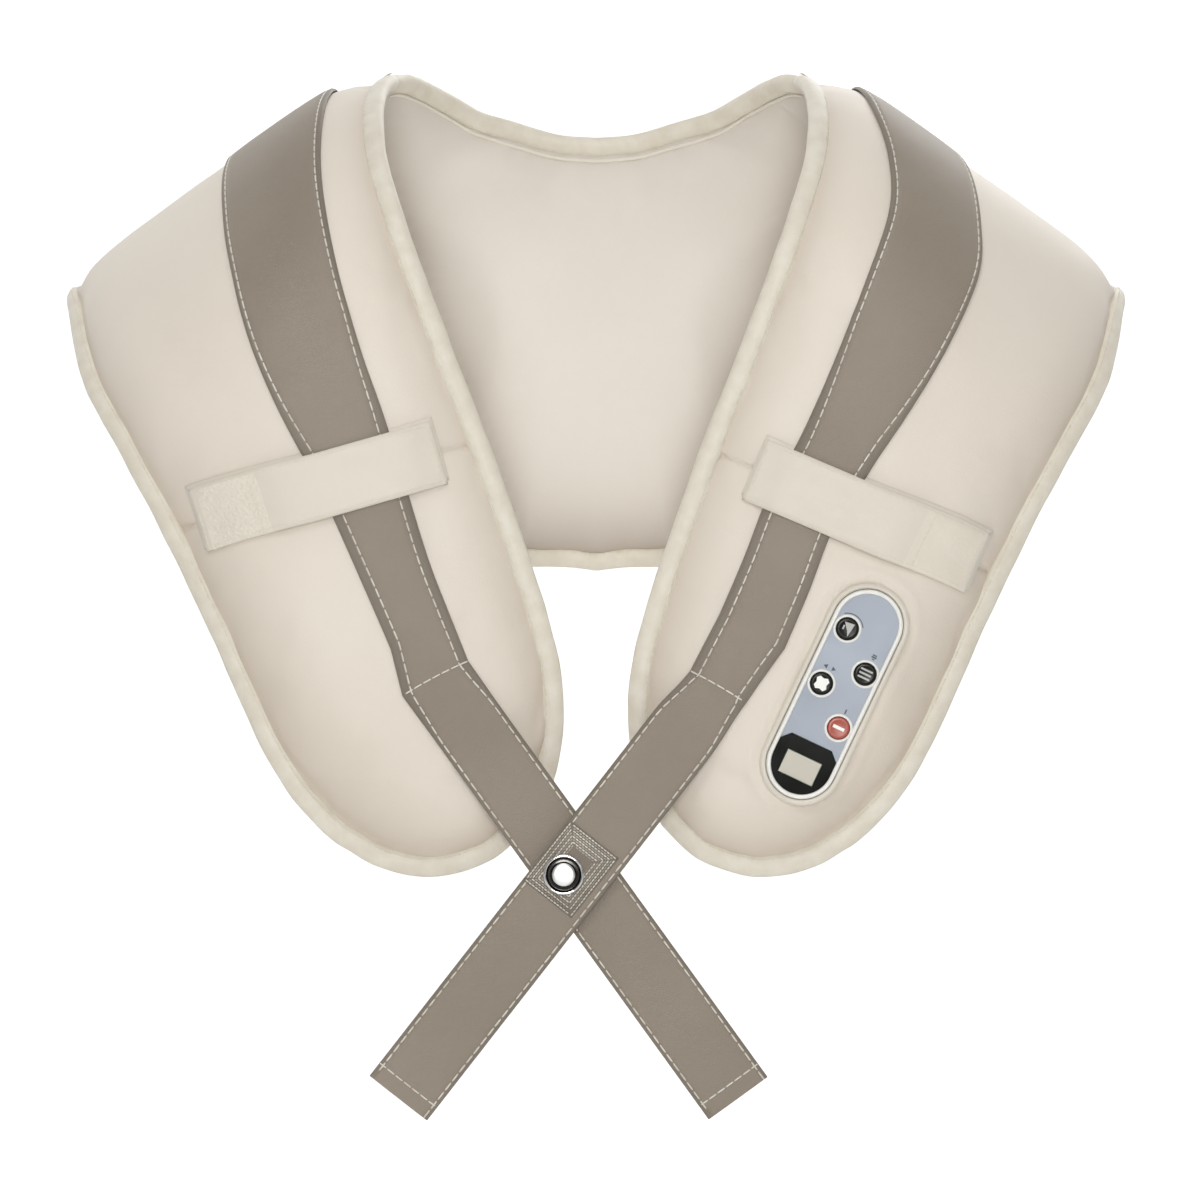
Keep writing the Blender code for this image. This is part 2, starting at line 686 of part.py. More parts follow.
def below(outline, limit, chamfer):
    """Part of a stadium outline under the height limit, with its two top corners cut off."""
    kept = [point for point in outline if point[1] < limit - chamfer]
    kept.sort(key=lambda point: math.atan2(point[0], limit - chamfer - point[1]))
    width = FACE_R
    left, right = (-width, limit - chamfer), (width, limit - chamfer)
    return [(-width + chamfer, limit), left] + kept + [right, (width - chamfer, limit)]


def make_face(place):
    low, high = 1.0 * MM, 2.2 * MM
    outline = stadium(FACE_R, POD_HALF)
    gap = 0.4 * MM
    chamfer = 4 * MM
    window = below(outline, WINDOW_TOP, chamfer)
    upper = [point for point in outline if point[1] > WINDOW_TOP]
    upper.sort(key=lambda point: math.atan2(point[0], point[1] - WINDOW_TOP))
    edge = FACE_R
    face = [(edge, WINDOW_TOP - chamfer + gap), (edge - chamfer, WINDOW_TOP + gap),
            (-edge + chamfer, WINDOW_TOP + gap), (-edge, WINDOW_TOP - chamfer + gap)]
    holes = [circle(BUTTON_R + gap, (across, up), 20) for up, across in BUTTONS.values()]
    plate("control_faceplate", [face + upper] + holes, low, high, place, BLUE)
    half_w, half_h = SCREEN[0] / 2, SCREEN[1] / 2
    corners = ((-1, -1), (1, -1), (1, 1), (-1, 1))
    opening = [(a * half_w, SCREEN_U + b * half_h) for a, b in corners]
    plate("display_window", [window, opening], low, high, place, BLACK)
    inside = [(a * (half_w - gap), SCREEN_U + b * (half_h - gap)) for a, b in corners]
    plate("display_screen", [inside], 0.4 * MM, 1.9 * MM, place, SCREEN_GREY)


def make_button(name, place):
    top = 3.0 * MM
    rim = BUTTON_R + 0.7 * MM
    material = RED if name == "power_button" else BLACK
    turned(name, [(0, top), (3.6 * MM, top - 0.15 * MM), (BUTTON_R, top - 0.9 * MM),
                  (BUTTON_R, 0.5 * MM), (rim, 0.4 * MM), (rim, -0.5 * MM), (1.5 * MM, -0.5 * MM),
                  (1.5 * MM, -1.9 * MM), (0, -1.9 * MM)], place, material, 18)
    switch = box(name.replace("button", "switch"), (-3 * MM, -3 * MM, -4.5 * MM),
                 (3 * MM, 3 * MM, -2.6 * MM), BLACK)
    switch.matrix_world = place


def pod_pocket(place, name, radius, low, high):
    return plate(name, [stadium(radius, POD_HALF)], low, high, place, None)


# ------------------------------------------------------------------ kneading drives

def wheel_outline():
    """Teeth with a gap straight below the centre, where the worm meets the wheel."""
    root, tip = WHEEL_R - 1.3 * MM, WHEEL_R + 0.6 * MM
    root_half, tip_half = 1.1 * MM / root, 0.35 * MM / tip
    points = []
    for tooth in range(TEETH):
        middle = -math.pi / 2 + (tooth + 0.5) * 2 * math.pi / TEETH
        for radius, offset in ((root, -root_half), (tip, -tip_half), (tip, tip_half), (root, root_half)):
            angle = middle + offset
            points.append((radius * math.cos(angle), radius * math.sin(angle)))
    return points


def make_worm(name, centre, hand, shaft_to):
    """Worm along X with its thread crest facing the wheel, and the shaft that carries it."""
    around, per_turn = 10, 6
    turns = WORM_LENGTH / LEAD
    rings = round(turns * per_turn)
    root, crest = 3.5 * MM, 5.3 * MM
    bm = bmesh.new()
    bmesh.ops.create_grid(bm, x_segments=rings, y_segments=around, size=1)
    for vert in bm.verts:
        x = vert.co.x * WORM_LENGTH / 2
        angle = (vert.co.y + 1) * math.pi
        phase = 2 * math.pi * x / LEAD - hand * (angle - math.pi / 2)
        thread = ((1 + math.cos(phase)) / 2) ** 2
        radius = root + (crest - root) * thread
        vert.co = (x, radius * math.cos(angle), radius * math.sin(angle))
    bmesh.ops.remove_doubles(bm, verts=bm.verts[:], dist=1e-6)
    bmesh.ops.holes_fill(bm, edges=[edge for edge in bm.edges if edge.is_boundary], sides=0)
    worm = add_object(name, mesh_from(bm, name), STEEL, Matrix.Translation(centre))
    shaft = rod(f"{name}_shaft", (centre.x, centre.y, centre.z), shaft_to, 1.2 * MM, segments=10)
    boolean(worm, shaft, "UNION")
    return worm


def along_y(origin):
    """Local Z towards the wearer (-Y), local X to +X, local Y to +Z."""
    return frame_at(origin, (1, 0, 0), (0, 0, 1))


def case_outline(grow, sign):
    """Round gear chamber with a box below it for the worm and the motor, around the head's axis."""
    radius = CASE_R + grow
    box_top = WORM_Z - HEAD_Z + MOTOR_R + 0.4 * MM + WALL + grow
    box_low = WORM_Z - HEAD_Z - MOTOR_R - 0.4 * MM - WALL - grow
    outer_end, inner_end = 13 * MM + grow, -50 * MM - grow
    start = math.asin(box_top / radius) if abs(box_top) < radius else -math.pi / 2
    turn = math.pi - 2 * start
    arc = [start + turn * k / 18 for k in range(19)]
    points = [(radius * math.cos(a), radius * math.sin(a)) for a in arc]
    right_x = radius * math.cos(start)
    points += [(inner_end, box_top), (inner_end, box_low), (max(outer_end, right_x), box_low)]
    return [(sign * x, y) for x, y in points][::sign]


def make_drive(side, sign):
    axis = Vector((sign * HEAD_X, 0, HEAD_Z))
    place = along_y(axis)
    worm_at = Vector((axis.x, GEAR_Y, WORM_Z))
    case = plate(f"{side}_gearbox_case", [case_outline(0, sign)], -CASE_BACK, -CASE_FRONT, place, WHITE)
    hollow = plate(f"{side}_case_hollow", [case_outline(-WALL, sign)],
                   -CASE_BACK + WALL, -CASE_FRONT + WALL, place, None)
    boolean(case, hollow)
    lid_low = -CASE_FRONT + 0.3 * MM
    plate(f"{side}_gearbox_lid", [case_outline(0, sign), circle(5.4 * MM, count=20)],
          lid_low, lid_low + WALL, place, WHITE)
    bush_top = lid_low + WALL + 0.8 * MM
    turned(f"{side}_bush", [(SHAFT_R + 0.3 * MM, bush_top), (6.6 * MM, bush_top),
                            (6.6 * MM, bush_top - 0.5 * MM), (5.1 * MM, bush_top - 0.5 * MM),
                            (5.1 * MM, lid_low - 1.5 * MM), (SHAFT_R + 0.3 * MM, lid_low - 1.5 * MM),
                            (SHAFT_R + 0.3 * MM, bush_top)], place, BRASS, 20)
    motor_near = HEAD_X - 19 * MM
    ends = [Vector((sign * x, GEAR_Y, WORM_Z)) for x in (motor_near, motor_near - MOTOR_LENGTH)]
    rod(f"{side}_motor", ends[0], ends[1], MOTOR_R, STEEL, 20)
    make_worm(f"{side}_worm", worm_at, sign, ends[0] + Vector((sign * 0.4 * MM, 0, 0)))
    half = WHEEL_THICK / 2
    plate(f"{side}_worm_wheel", [wheel_outline(), circle(SHAFT_R + 0.3 * MM, count=16)],
          -GEAR_Y - half, -GEAR_Y + half, place, NYLON)
    rod(f"{side}_output_shaft", (axis.x, CASE_BACK - WALL - 0.4 * MM, axis.z),
        (axis.x, 70.6 * MM, axis.z), SHAFT_R, STEEL, 16)
    make_head(side, place)


def make_head(side, place):
    """Carrier arm with a stub at each end, and the kneading node on each stub."""
    arm_low, arm_high = -74.1 * MM, -70.2 * MM
    stub_r, stub_top = 2.5 * MM, -64.4 * MM
    slant = math.radians(60 if side == "left" else -60)
    across = place @ Matrix.Rotation(slant, 4, "Z")
    arm = plate(f"{side}_carrier_arm", [stadium(7 * MM, ARM_REACH, 8), circle(SHAFT_R + 0.3 * MM, count=16)],
                arm_low, arm_high, across, NYLON)
    for label, reach in (("upper", ARM_REACH), ("lower", -ARM_REACH)):
        foot, tip = (across @ Vector((0, reach, h)) for h in (arm_low + 1 * MM, stub_top))
        boolean(arm, rod(f"{side}_{label}_stub", foot, tip, stub_r, segments=16), "UNION")
        low, top = arm_high + 0.4 * MM, -60.5 * MM
        bore, deep = stub_r + 0.3 * MM, stub_top + 0.4 * MM
        turned(f"{side}_{label}_node", [(0, top), (5 * MM, top - 0.8 * MM), (8.6 * MM, top - 3 * MM),
                                        (10.6 * MM, top - 6 * MM), (NODE_R, low), (bore, low),
                                        (bore, deep), (0, deep)],
               across @ Matrix.Translation((0, reach, 0)), NYLON, 20)


def drive_pocket(sign, outer_y):
    """Cutters for the foam: the swept ring of the head, and the gearbox."""
    place = along_y(Vector((sign * HEAD_X, 0, HEAD_Z)))
    deep = -outer_y
    ring = plate(f"pocket_ring_{sign}", [circle(POCKET_R, count=28)], deep + 24 * MM, -40 * MM, place, None)
    case = plate(f"pocket_case_{sign}", [case_outline(0.6 * MM, sign)], deep, -38 * MM, place, None)
    return ring, case


# ------------------------------------------------------------------ leads and inlet

def make_inlet():
    """Barrel power inlet through the back of the cover: flange, sleeve and centre pin."""
    face = 0.0
    place = frame_at(INLET, (-1, 0, 0), (0, 0, 1))
    turned("dc_inlet", [(0, -3 * MM), (1.0 * MM, -3.4 * MM), (1.0 * MM, -10 * MM), (3.2 * MM, -10 * MM),
                        (3.2 * MM, face), (8 * MM, face), (8 * MM, -1.6 * MM), (5.4 * MM, -1.6 * MM),
                        (5.4 * MM, -13 * MM), (0, -13 * MM)], place, BLACK, 24)
    case_end = HEAD_X - 50 * MM - 0.4 * MM
    x, y = INLET.x, 88 * MM
    points = [Vector((x, 95.6 * MM, INLET.z)), Vector((x, y + 2 * MM, INLET.z + 1 * MM)),
              Vector((x, y, INLET.z + 4 * MM)), Vector((x, y, WORM_Z - 9 * MM)),
              Vector((x + 2 * MM, y, WORM_Z - 3 * MM)), Vector((x + 6 * MM, y, WORM_Z)),
              Vector((case_end, y, WORM_Z))]
    tube("inlet_lead", points, 1.2 * MM, CABLE)
    cross_y = 80 * MM
    tube("cross_lead", [Vector((k * case_end / 4, cross_y, WORM_Z)) for k in range(-4, 5)],
         1.2 * MM, CABLE)


def control_route():
    """Path of the lead from the control pod over the shoulder to the right drive."""
    stops = [(104, 318), (110, 306), (118, 290), (127, 262), (136, 225), (146, 180), (153, 130),
             (156, 85), (156, 40), (153, -5), (146, -42), (134, -74)]
    points = []
    for k in range(2 * len(stops) - 1):
        x, run = through(stops, k / 2)
        x, run = x * MM, run * MM
        depth = crown(x, run, FRONT_SKIN, BACK_SKIN) - COVER - PAD_GAP - 1.4 * MM
        points.append(cloth(x, run) - depth * outward(x, run))
    end = Vector((HEAD_X + 6 * MM, 80.5 * MM, HEAD_Z + CASE_R + 0.6 * MM))
    return points + [points[-1].lerp(end, 0.45) + Vector((0, 1 * MM, 1 * MM)), end + Vector((0, 0, 4 * MM)), end]


# ------------------------------------------------------------------ assembly

def main():
    make_covers()
    pads = make_pads()
    back_pad = pads["back"]
    make_bindings()
    under, over = make_straps()
    make_snap(under, over)

    place = pod_frame()
    make_pod(place)
    boolean(pads["right_front"], pod_pocket(place, "pod_pocket", POD_R + 0.6 * MM, -40 * MM, 6 * MM))
    cover = bpy.data.objects["outer_cover"]
    boolean(cover, pod_pocket(place, "pod_opening", POD_R + 0.5 * MM, -8 * MM, 6 * MM))

    for side, sign in (("left", -1), ("right", 1)):
        make_drive(side, sign)
        for cutter in drive_pocket(sign, CASE_BACK + 0.5 * MM):
            boolean(back_pad, cutter)
    make_inlet()
    slot_deep = 91 * MM
    boolean(back_pad, box("lead_slot", (-75 * MM, 50 * MM, WORM_Z - 4 * MM),
                          (75 * MM, slot_deep, WORM_Z + 4 * MM)))
    boolean(back_pad, box("inlet_slot", (INLET.x - 4 * MM, 50 * MM, INLET.z - 3 * MM),
                          (INLET.x + 8 * MM, slot_deep, WORM_Z + 1 * MM)))
    for item, name in ((back_pad, "inlet_hole"), (cover, "inlet_opening")):
        boolean(item, rod(name, (INLET.x, 70 * MM, INLET.z), (INLET.x, 125 * MM, INLET.z), 6.2 * MM,
                          segments=20))
    route = control_route()
    tube("control_lead", route, 1.2 * MM, CABLE)
    channel = as_mesh(tube("lead_channel", route + [route[-1] - Vector((0, 0, 3 * MM))], 2 * MM, None))
    for pad in (pads["right_front"], pads["right_shoulder"], back_pad):
        boolean(pad, channel)


main()
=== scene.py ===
"""Looks of the shawl massager: padded cover, taped edges, straps, keepers, control pod and snap."""
import math

import bmesh
import bpy
import numpy as np
from mathutils import Matrix, Vector, noise
from mathutils.bvhtree import BVHTree


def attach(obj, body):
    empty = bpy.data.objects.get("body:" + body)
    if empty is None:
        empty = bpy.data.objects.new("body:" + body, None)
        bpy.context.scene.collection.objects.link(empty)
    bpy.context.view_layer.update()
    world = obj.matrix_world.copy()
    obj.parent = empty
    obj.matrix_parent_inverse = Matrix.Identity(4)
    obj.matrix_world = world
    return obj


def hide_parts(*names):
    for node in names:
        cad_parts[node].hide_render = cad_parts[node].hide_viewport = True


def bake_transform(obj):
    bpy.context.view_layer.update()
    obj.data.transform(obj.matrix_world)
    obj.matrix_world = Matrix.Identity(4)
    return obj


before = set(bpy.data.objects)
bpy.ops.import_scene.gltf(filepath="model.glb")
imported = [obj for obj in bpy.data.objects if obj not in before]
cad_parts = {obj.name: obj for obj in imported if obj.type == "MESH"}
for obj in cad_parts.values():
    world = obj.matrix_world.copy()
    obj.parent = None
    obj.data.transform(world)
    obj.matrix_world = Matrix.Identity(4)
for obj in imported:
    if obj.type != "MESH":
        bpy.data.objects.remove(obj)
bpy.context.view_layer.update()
MM = 0.001

# ---- the draped form, as in the CAD
NECK_X, NECK_Z, SHOULDER_FALL = 92 * MM, 1 * MM, 0.70
TIP_X, TIP_RUN, TIP_FALL = 200 * MM, 36 * MM, 12 * MM
ARCH, DROP = 155 * MM, 100 * MM
FRONT_DEPTH, BACK_DEPTH = (105 * MM, 75 * MM), (85 * MM, 65 * MM)
DEPTH_X = 120 * MM
FRONT_CROWN, BACK_CROWN = 12 * MM, 22 * MM
FRONT_SKIN, BACK_SKIN = 9 * MM, 12 * MM
EDGE, TAPE_IN, RISE_RUN = 2.2 * MM, 5.2 * MM, 19 * MM
HEAD_X, HEAD_Z = 110 * MM, -112 * MM
DOME_R, DOME_RUN, DOME = 42 * MM, 24 * MM, 15.5 * MM
RIBS = [
    (0, -107, 0, -303), (18, -104, 42, -294), (36, -94, 82, -270), (54, -80, 119, -236),
    (68, -60, 153, -192), (79, -38, 184, -146), (86, -19, 211, -99), (90, -8, 228, -52),
    (92, 2, 235, 0), (95.5, 34, 231, 44), (96, 66, 221, 96), (93, 96, 206, 138),
    (85, 130, 190, 178), (76, 161, 175, 218), (64, 199, 162, 254), (49, 244, 150, 289),
    (37, 282, 140, 317), (27, 314, 129, 343), (19, 345, 118, 363), (17, 371, 112, 373),
    (21, 394, 108, 379), (31, 411, 104, 384),
]
FOOT = len(RIBS) - 1
SIGN = {"left": -1, "right": 1}
FOOT_ARC = [(31, 411), (45, 420), (64, 419), (79, 411), (93, 398), (104, 384)]

# ---- straps, as in the CAD
LOWER_HALF = 15.5 * MM
CROSSING = Vector((-13.6 * MM, 0, -348 * MM))
UNDER_Y, OVER_Y = -121.4 * MM, -126.8 * MM
SEAMS = {"left": ((-82.4, -272.6), (-54.3, -257.7)), "right": ((40.2, -261.9), (64.1, -275.6))}
TAILS = {"left": (60.5, -443.5), "right": (-83.7, -442.9)}
UPPER = {
    "left": [(-72, 110, 150), (-36, 110, 152), (0, 110, 155), (42, 113, 157), (82, 114, 154.5),
             (112, 112, 150), (146, 107, 143), (176, 100, 134), (206, 91.5, 123.5),
             (240, 82.5, 111.5), (282, 71.6, 97.3), (312, 62, 87.3)],
    "right": [(-72, 110, 148), (-36, 109, 149), (0, 109, 151), (42, 115, 158), (76, 121, 160),
              (104, 121.6, 158.6), (141, 113, 147), (178, 102, 132.6), (222, 87, 114),
              (250, 75, 101.5), (286, 63.3, 90.5), (316, 52.5, 80.5)],
}
KEEPERS = {"left": ((-66.8, -168.8), (-167.6, -197.7)), "right": ((67.7, -176), (161, -216))}
KEEPER_HALF, FLAP, TAB = 14 * MM, 1.3 * MM, 27 * MM

# ---- control pod, as in the CAD
POD = Vector((101.7 * MM, -117 * MM, -271.9 * MM))
POD_TILT = math.radians(25.4)
POD_HALF, BUTTON_R = 32.7 * MM, 4.7 * MM
BUTTONS = {
    "strength_button": (27.5 * MM, -7.1 * MM),
    "mode_button": (13.3 * MM, 8.0 * MM),
    "direction_button": (1.8 * MM, -7.1 * MM),
    "power_button": (-12.3 * MM, 7.6 * MM),
}
INLET = Vector((40 * MM, 109.2 * MM, -172 * MM))

# ---- looks only
FRONT_Y = -60 * MM
TIP_START, TIP_LIFT, TIP_FADE = 208 * MM, np.array((-1.2, 0, 17)) * MM, 13 * MM
RIM_IN, RIM_OUT, RIM_TOP, RIM_FALL = 15.9 * MM, 18.4 * MM, 0.6 * MM, 6 * MM
ROLL, ROLL_R, TUCKED_R, SUNK, POD_REACH = 0.7 * MM, 22 * MM, 17 * MM, 17 * MM, 30 * MM
UNEVEN = 0.45 * MM
SIM_FRAMES, PRESSURE = 20, 3.5
SWELL, MOST_ASIDE = (-0.5 * MM, 2.2 * MM), 1.5 * MM
TAPE_STEP, TAPE_SIDES = 2.2, 18
THREAD_PITCH = 0.9 * MM
DRIFT = (0.35, 0.65)
CAMERA_AT, VIEW_WIDTH = (0.0018, -2.2, -0.23175), 0.54
LIGHTS = (("key", (-0.5, -1.9, 1.1), 0.9, 8.5), ("fill", (1.0, -2.1, 0.3), 0.9, 2),
          ("front", (0, -2.6, 0.02), 0.6, 19), ("top", (0, -0.5, 1.7), 1.2, 7),
          ("back", (0.6, 1.5, 0.9), 1.0, 5))
LIGHTS_AIM = Vector((0, 0, -0.2))


# ---- materials

class Look:
    """A Principled material that is built up a layer at a time."""

    def __init__(self, name, roughness, metallic=0.0, **sockets):
        self.made = bpy.data.materials.new(name)
        self.made.use_nodes = True
        self.nodes, self.links = self.made.node_tree.nodes, self.made.node_tree.links
        self.shader = self.nodes["Principled BSDF"]
        for socket, value in {"Roughness": roughness, "Metallic": metallic, **sockets}.items():
            self.shader.inputs[socket.replace("_", " ")].default_value = value
        self.place = self.nodes.new("ShaderNodeTexCoord").outputs["Object"]
        self.normal = None

    def node(self, kind, **values):
        """New node whose inputs take a value, or the output of another node."""
        made = self.nodes.new("ShaderNode" + kind)
        for name, value in values.items():
            socket = made.inputs[name.replace("_", " ")]
            if isinstance(value, bpy.types.NodeSocket):
                self.links.new(value, socket)
            else:
                socket.default_value = value
        return made

    def texture(self, kind, scale, stretch=(1, 1, 1), turn=(0, 0, 0), **values):
        mapping = self.node("Mapping", Scale=stretch, Rotation=turn, Vector=self.place)
        made = self.node("Tex" + kind, Vector=mapping.outputs["Vector"], Scale=scale, **values)
        return made.outputs["Distance" if kind == "Voronoi" else 0]

    def mottle(self, scale, first, second, detail=3.0):
        """Base colour that drifts between two colours."""
        made = self.node("ValToRGB", Fac=self.texture("Noise", scale, Detail=detail))
        for stop, position, colour in zip(made.color_ramp.elements, DRIFT, (first, second)):
            stop.position, stop.color = position, (*colour, 1)
        self.links.new(made.outputs["Color"], self.shader.inputs["Base Color"])
        return self

    def toward(self, colour, attribute):
        """Turns the base colour towards another one where a mesh attribute is high."""
        source, made = self.node("Attribute"), self.node("Mix")
        source.attribute_name = attribute
        made.data_type = "RGBA"
        base = self.shader.inputs["Base Color"]
        self.links.new(source.outputs["Fac"], made.inputs["Factor"])
        self.links.new(base.links[0].from_socket, made.inputs[6])
        made.inputs[7].default_value = (*colour, 1)
        self.links.new(made.outputs[2], base)
        return self

    def worn(self, scale, low, high, stretch=(1, 1, 1)):
        """Roughness that drifts between two values."""
        made = self.node("MapRange", Value=self.texture("Noise", scale, stretch, Detail=4.0),
                         From_Min=DRIFT[0], From_Max=DRIFT[1], To_Min=low, To_Max=high)
        self.links.new(made.outputs["Result"], self.shader.inputs["Roughness"])
        return self

    def bump(self, source, height):
        """Adds relief of a height in metres."""
        made = self.node("Bump", Height=source, Distance=height)
        if self.normal:
            self.links.new(self.normal, made.inputs["Normal"])
        self.normal = made.outputs["Normal"]
        self.links.new(self.normal, self.shader.inputs["Normal"])
        return self

    def noisy(self, scale, height, stretch=(1, 1, 1)):
        return self.bump(self.texture("Noise", scale, stretch, Detail=4.0), height)

    def cells(self, scale, height):
        return self.bump(self.texture("Voronoi", scale), height)


def leatherette(name, first, second, roughness, edge=None, drift=(9, 3.0), grain=(160, 0.00012)):
    look = Look(name, roughness, Sheen_Weight=0.15, Sheen_Roughness=0.5)
    look.mottle(drift[0], first, second, drift[1])
    # edge is the colour of painted shade, mixed in beside seams and folds
    if edge:
        look.toward(edge, "painted_edge_shade")
    return look.cells(1500, 0.00005).noisy(*grain).made


# The last colour of the cover and lining cloth is painted shade, mixed in beside seams and where the lining
# folds forward.
COVER = leatherette("cover_cloth", (0.790, 0.716, 0.619), (0.820, 0.750, 0.656), 0.52, (0.55, 0.465, 0.375))
LINING = leatherette("lining_cloth", (0.790, 0.738, 0.668), (0.820, 0.772, 0.704), 0.58, (0.36, 0.295, 0.23))
TAPE = leatherette("edge_tape", (0.735, 0.675, 0.565), (0.795, 0.745, 0.64), 0.5, drift=(120, 2.0),
                   grain=(260, 0.00022))
BAND = leatherette("keeper_cloth", (0.745, 0.680, 0.580), (0.775, 0.715, 0.618), 0.5)
PIPING = leatherette("piping_cloth", (0.790, 0.745, 0.650), (0.825, 0.785, 0.695), 0.5)


def webbing(name, first, second):
    """Strap cloth: two crossing sets of threads in the plane of the front."""
    look = Look(name, 0.55, Sheen_Weight=0.1).mottle(14, first, second)
    for turn in (math.pi / 4, -math.pi / 4):
        look.bump(look.texture("Wave", 0.314 / THREAD_PITCH, turn=(0, turn, 0), Distortion=0.4), 0.00005)
    return look.noisy(900, 0.00008).made


def thread(name, first, second):
    return Look(name, 0.45, Sheen_Weight=0.2).mottle(60, first, second).noisy(2600, 0.00006).made


def hook_tape(name, relief):
    look = Look(name, 0.6, Sheen_Weight=0.2).mottle(30, (0.785, 0.720, 0.610), (0.835, 0.775, 0.668))
    return look.cells(620, 0.00045 * relief).noisy(1500, 0.00025 * relief).made


def plastic(name, first, second, low, high, grain=0.00002, **sockets):
    return Look(name, low, **sockets).mottle(25, first, second).worn(45, low, high).noisy(1400, grain).made


def metal(name, first, second, low, high, stretch=(1, 1, 1)):
    look = Look(name, low, 1.0).mottle(40, first, second).worn(220, low, high, stretch)
    return look.noisy(900, 0.000004, stretch).made


WEB = webbing("strap_web", (0.275, 0.227, 0.178), (0.305, 0.256, 0.203))
WEB_EDGE = webbing("strap_edge", (0.205, 0.170, 0.132), (0.240, 0.200, 0.158))
LIGHT_THREAD = thread("light_thread", (0.66, 0.62, 0.54), (0.80, 0.77, 0.69))
CREAM_THREAD = thread("cream_thread", (0.70, 0.65, 0.54), (0.79, 0.75, 0.64))
TAUPE_THREAD = thread("taupe_thread", (0.26, 0.23, 0.185), (0.52, 0.48, 0.41))
HOOK, LOOP = hook_tape("hook_tape", 1.0), hook_tape("loop_tape", 0.3)
CHROME = metal("chrome", (0.80, 0.80, 0.80), (0.88, 0.88, 0.88), 0.05, 0.11)
# The snap's near-white satin centre and near-black channel are painted highlight and painted dark reflection.
SATIN_PAINTED_HIGHLIGHT = metal("satin_nickel_painted_highlight", (0.93, 0.93, 0.92), (0.97, 0.97, 0.96), 0.4, 0.5)
DARK_CHROME_PAINTED_REFLECTION = metal("dark_chrome_painted_reflection", (0.035, 0.033, 0.030), (0.06, 0.057, 0.052), 0.12, 0.2)
STEEL = metal("steel", (0.50, 0.50, 0.51), (0.60, 0.60, 0.61), 0.25, 0.4, (1, 1, 9))
BRASS = metal("brass", (0.62, 0.44, 0.19), (0.72, 0.54, 0.26), 0.22, 0.36)
WHITE = plastic("white_plastic", (0.88, 0.87, 0.82), (0.93, 0.92, 0.87), 0.22, 0.32)
CREAM = plastic("cream_plastic", (0.70, 0.65, 0.56), (0.76, 0.71, 0.62), 0.35, 0.45, 0.00004)
BLUE = plastic("blue_overlay", (0.340, 0.379, 0.446), (0.372, 0.411, 0.476), 0.3, 0.42, 0.00003)
BLACK = plastic("black_plastic", (0.007, 0.007, 0.006), (0.012, 0.012, 0.010), 0.22, 0.32,
                Specular_IOR_Level=0.18)
GLOSS = plastic("black_window", (0.005, 0.005, 0.004), (0.008, 0.008, 0.007), 0.09, 0.14, 0.000004,
                Specular_IOR_Level=0.15)
RED = plastic("red_plastic", (0.36, 0.068, 0.042), (0.44, 0.095, 0.062), 0.24, 0.34)
LCD = plastic("lcd", (0.50, 0.47, 0.385), (0.57, 0.535, 0.44), 0.16, 0.24, 0.000008)
INK = plastic("mark_ink", (0.05, 0.055, 0.075), (0.08, 0.085, 0.11), 0.4, 0.5)
ICON_GREY = plastic("icon_grey", (0.40, 0.40, 0.38), (0.56, 0.56, 0.53), 0.4, 0.5)
BOARD = plastic("board", (0.02, 0.13, 0.05), (0.03, 0.18, 0.07), 0.35, 0.5)
NYLON = plastic("nylon", (0.66, 0.65, 0.61), (0.73, 0.72, 0.68), 0.38, 0.5, 0.00004)
SHELL = plastic("case_plastic", (0.62, 0.61, 0.57), (0.68, 0.67, 0.63), 0.4, 0.55, 0.00008)
RUBBER = plastic("lead_jacket", (0.015, 0.015, 0.015), (0.03, 0.03, 0.03), 0.45, 0.6, 0.00005)
FOAM = Look("foam", 0.9, Sheen_Weight=0.3).mottle(70, (0.70, 0.66, 0.52), (0.78, 0.75, 0.62))
FOAM = FOAM.cells(900, 0.0004).made


# ---- the draped surface

def smooth(t):
    t = np.clip(t, 0, 1)
    return t * t * (3 - 2 * t)


def bell(x, width):
    return np.exp(-(x / width) ** 2)


def ridge(x):
    x = np.abs(x)
    tip = np.maximum(x - TIP_X, 0) / TIP_RUN
    inner = NECK_Z + SHOULDER_FALL / (2 * NECK_X) * (NECK_X ** 2 - x * x)
    outer = NECK_Z - SHOULDER_FALL * (x - NECK_X) - TIP_FALL * tip * tip
    return np.where(x < NECK_X, inner, outer)


def cloth(x, run):
    """Seam surface at x and a distance run past the shoulder line, positive in front."""
    x, run = np.asarray(x, float), np.asarray(run, float)
    front = run > 0
    near = np.where(front, FRONT_DEPTH[0], BACK_DEPTH[0])
    far = np.where(front, FRONT_DEPTH[1], BACK_DEPTH[1])
    depth = near - (near - far) * smooth((np.abs(x) - DEPTH_X) / DEPTH_X)
    angle = np.minimum(np.abs(run) / ARCH, 1) * np.pi / 2
    z = ridge(x) - DROP * (1 - np.cos(angle)) - np.maximum(np.abs(run) - ARCH, 0)
    return np.stack([x, np.where(front, -1, 1) * depth * np.sin(angle), z], -1)


def unit(vectors):
    return vectors / np.maximum(np.linalg.norm(vectors, axis=-1, keepdims=True), 1e-9)


def outward(x, run):
    x, run = np.asarray(x, float), np.asarray(run, float)
    step = 2 * MM
    ahead = cloth(x, run + step) - cloth(x, run - step)
    normal = unit(np.cross(ahead, cloth(x + step, run) - cloth(x - step, run)))
    away = np.where(run > 0, -1, 1) * normal[..., 1] + 0.3 * normal[..., 2]
    return normal * np.where(away < 0, -1, 1)[..., None]


def run_at(x, z):
    """Distance past the shoulder line at which the seam surface reaches a height."""
    fall = np.maximum(ridge(x) - z, 0)
    arc = ARCH * np.arccos(1 - np.minimum(fall, DROP) / DROP) / (np.pi / 2)
    return arc + np.maximum(fall - DROP, 0)


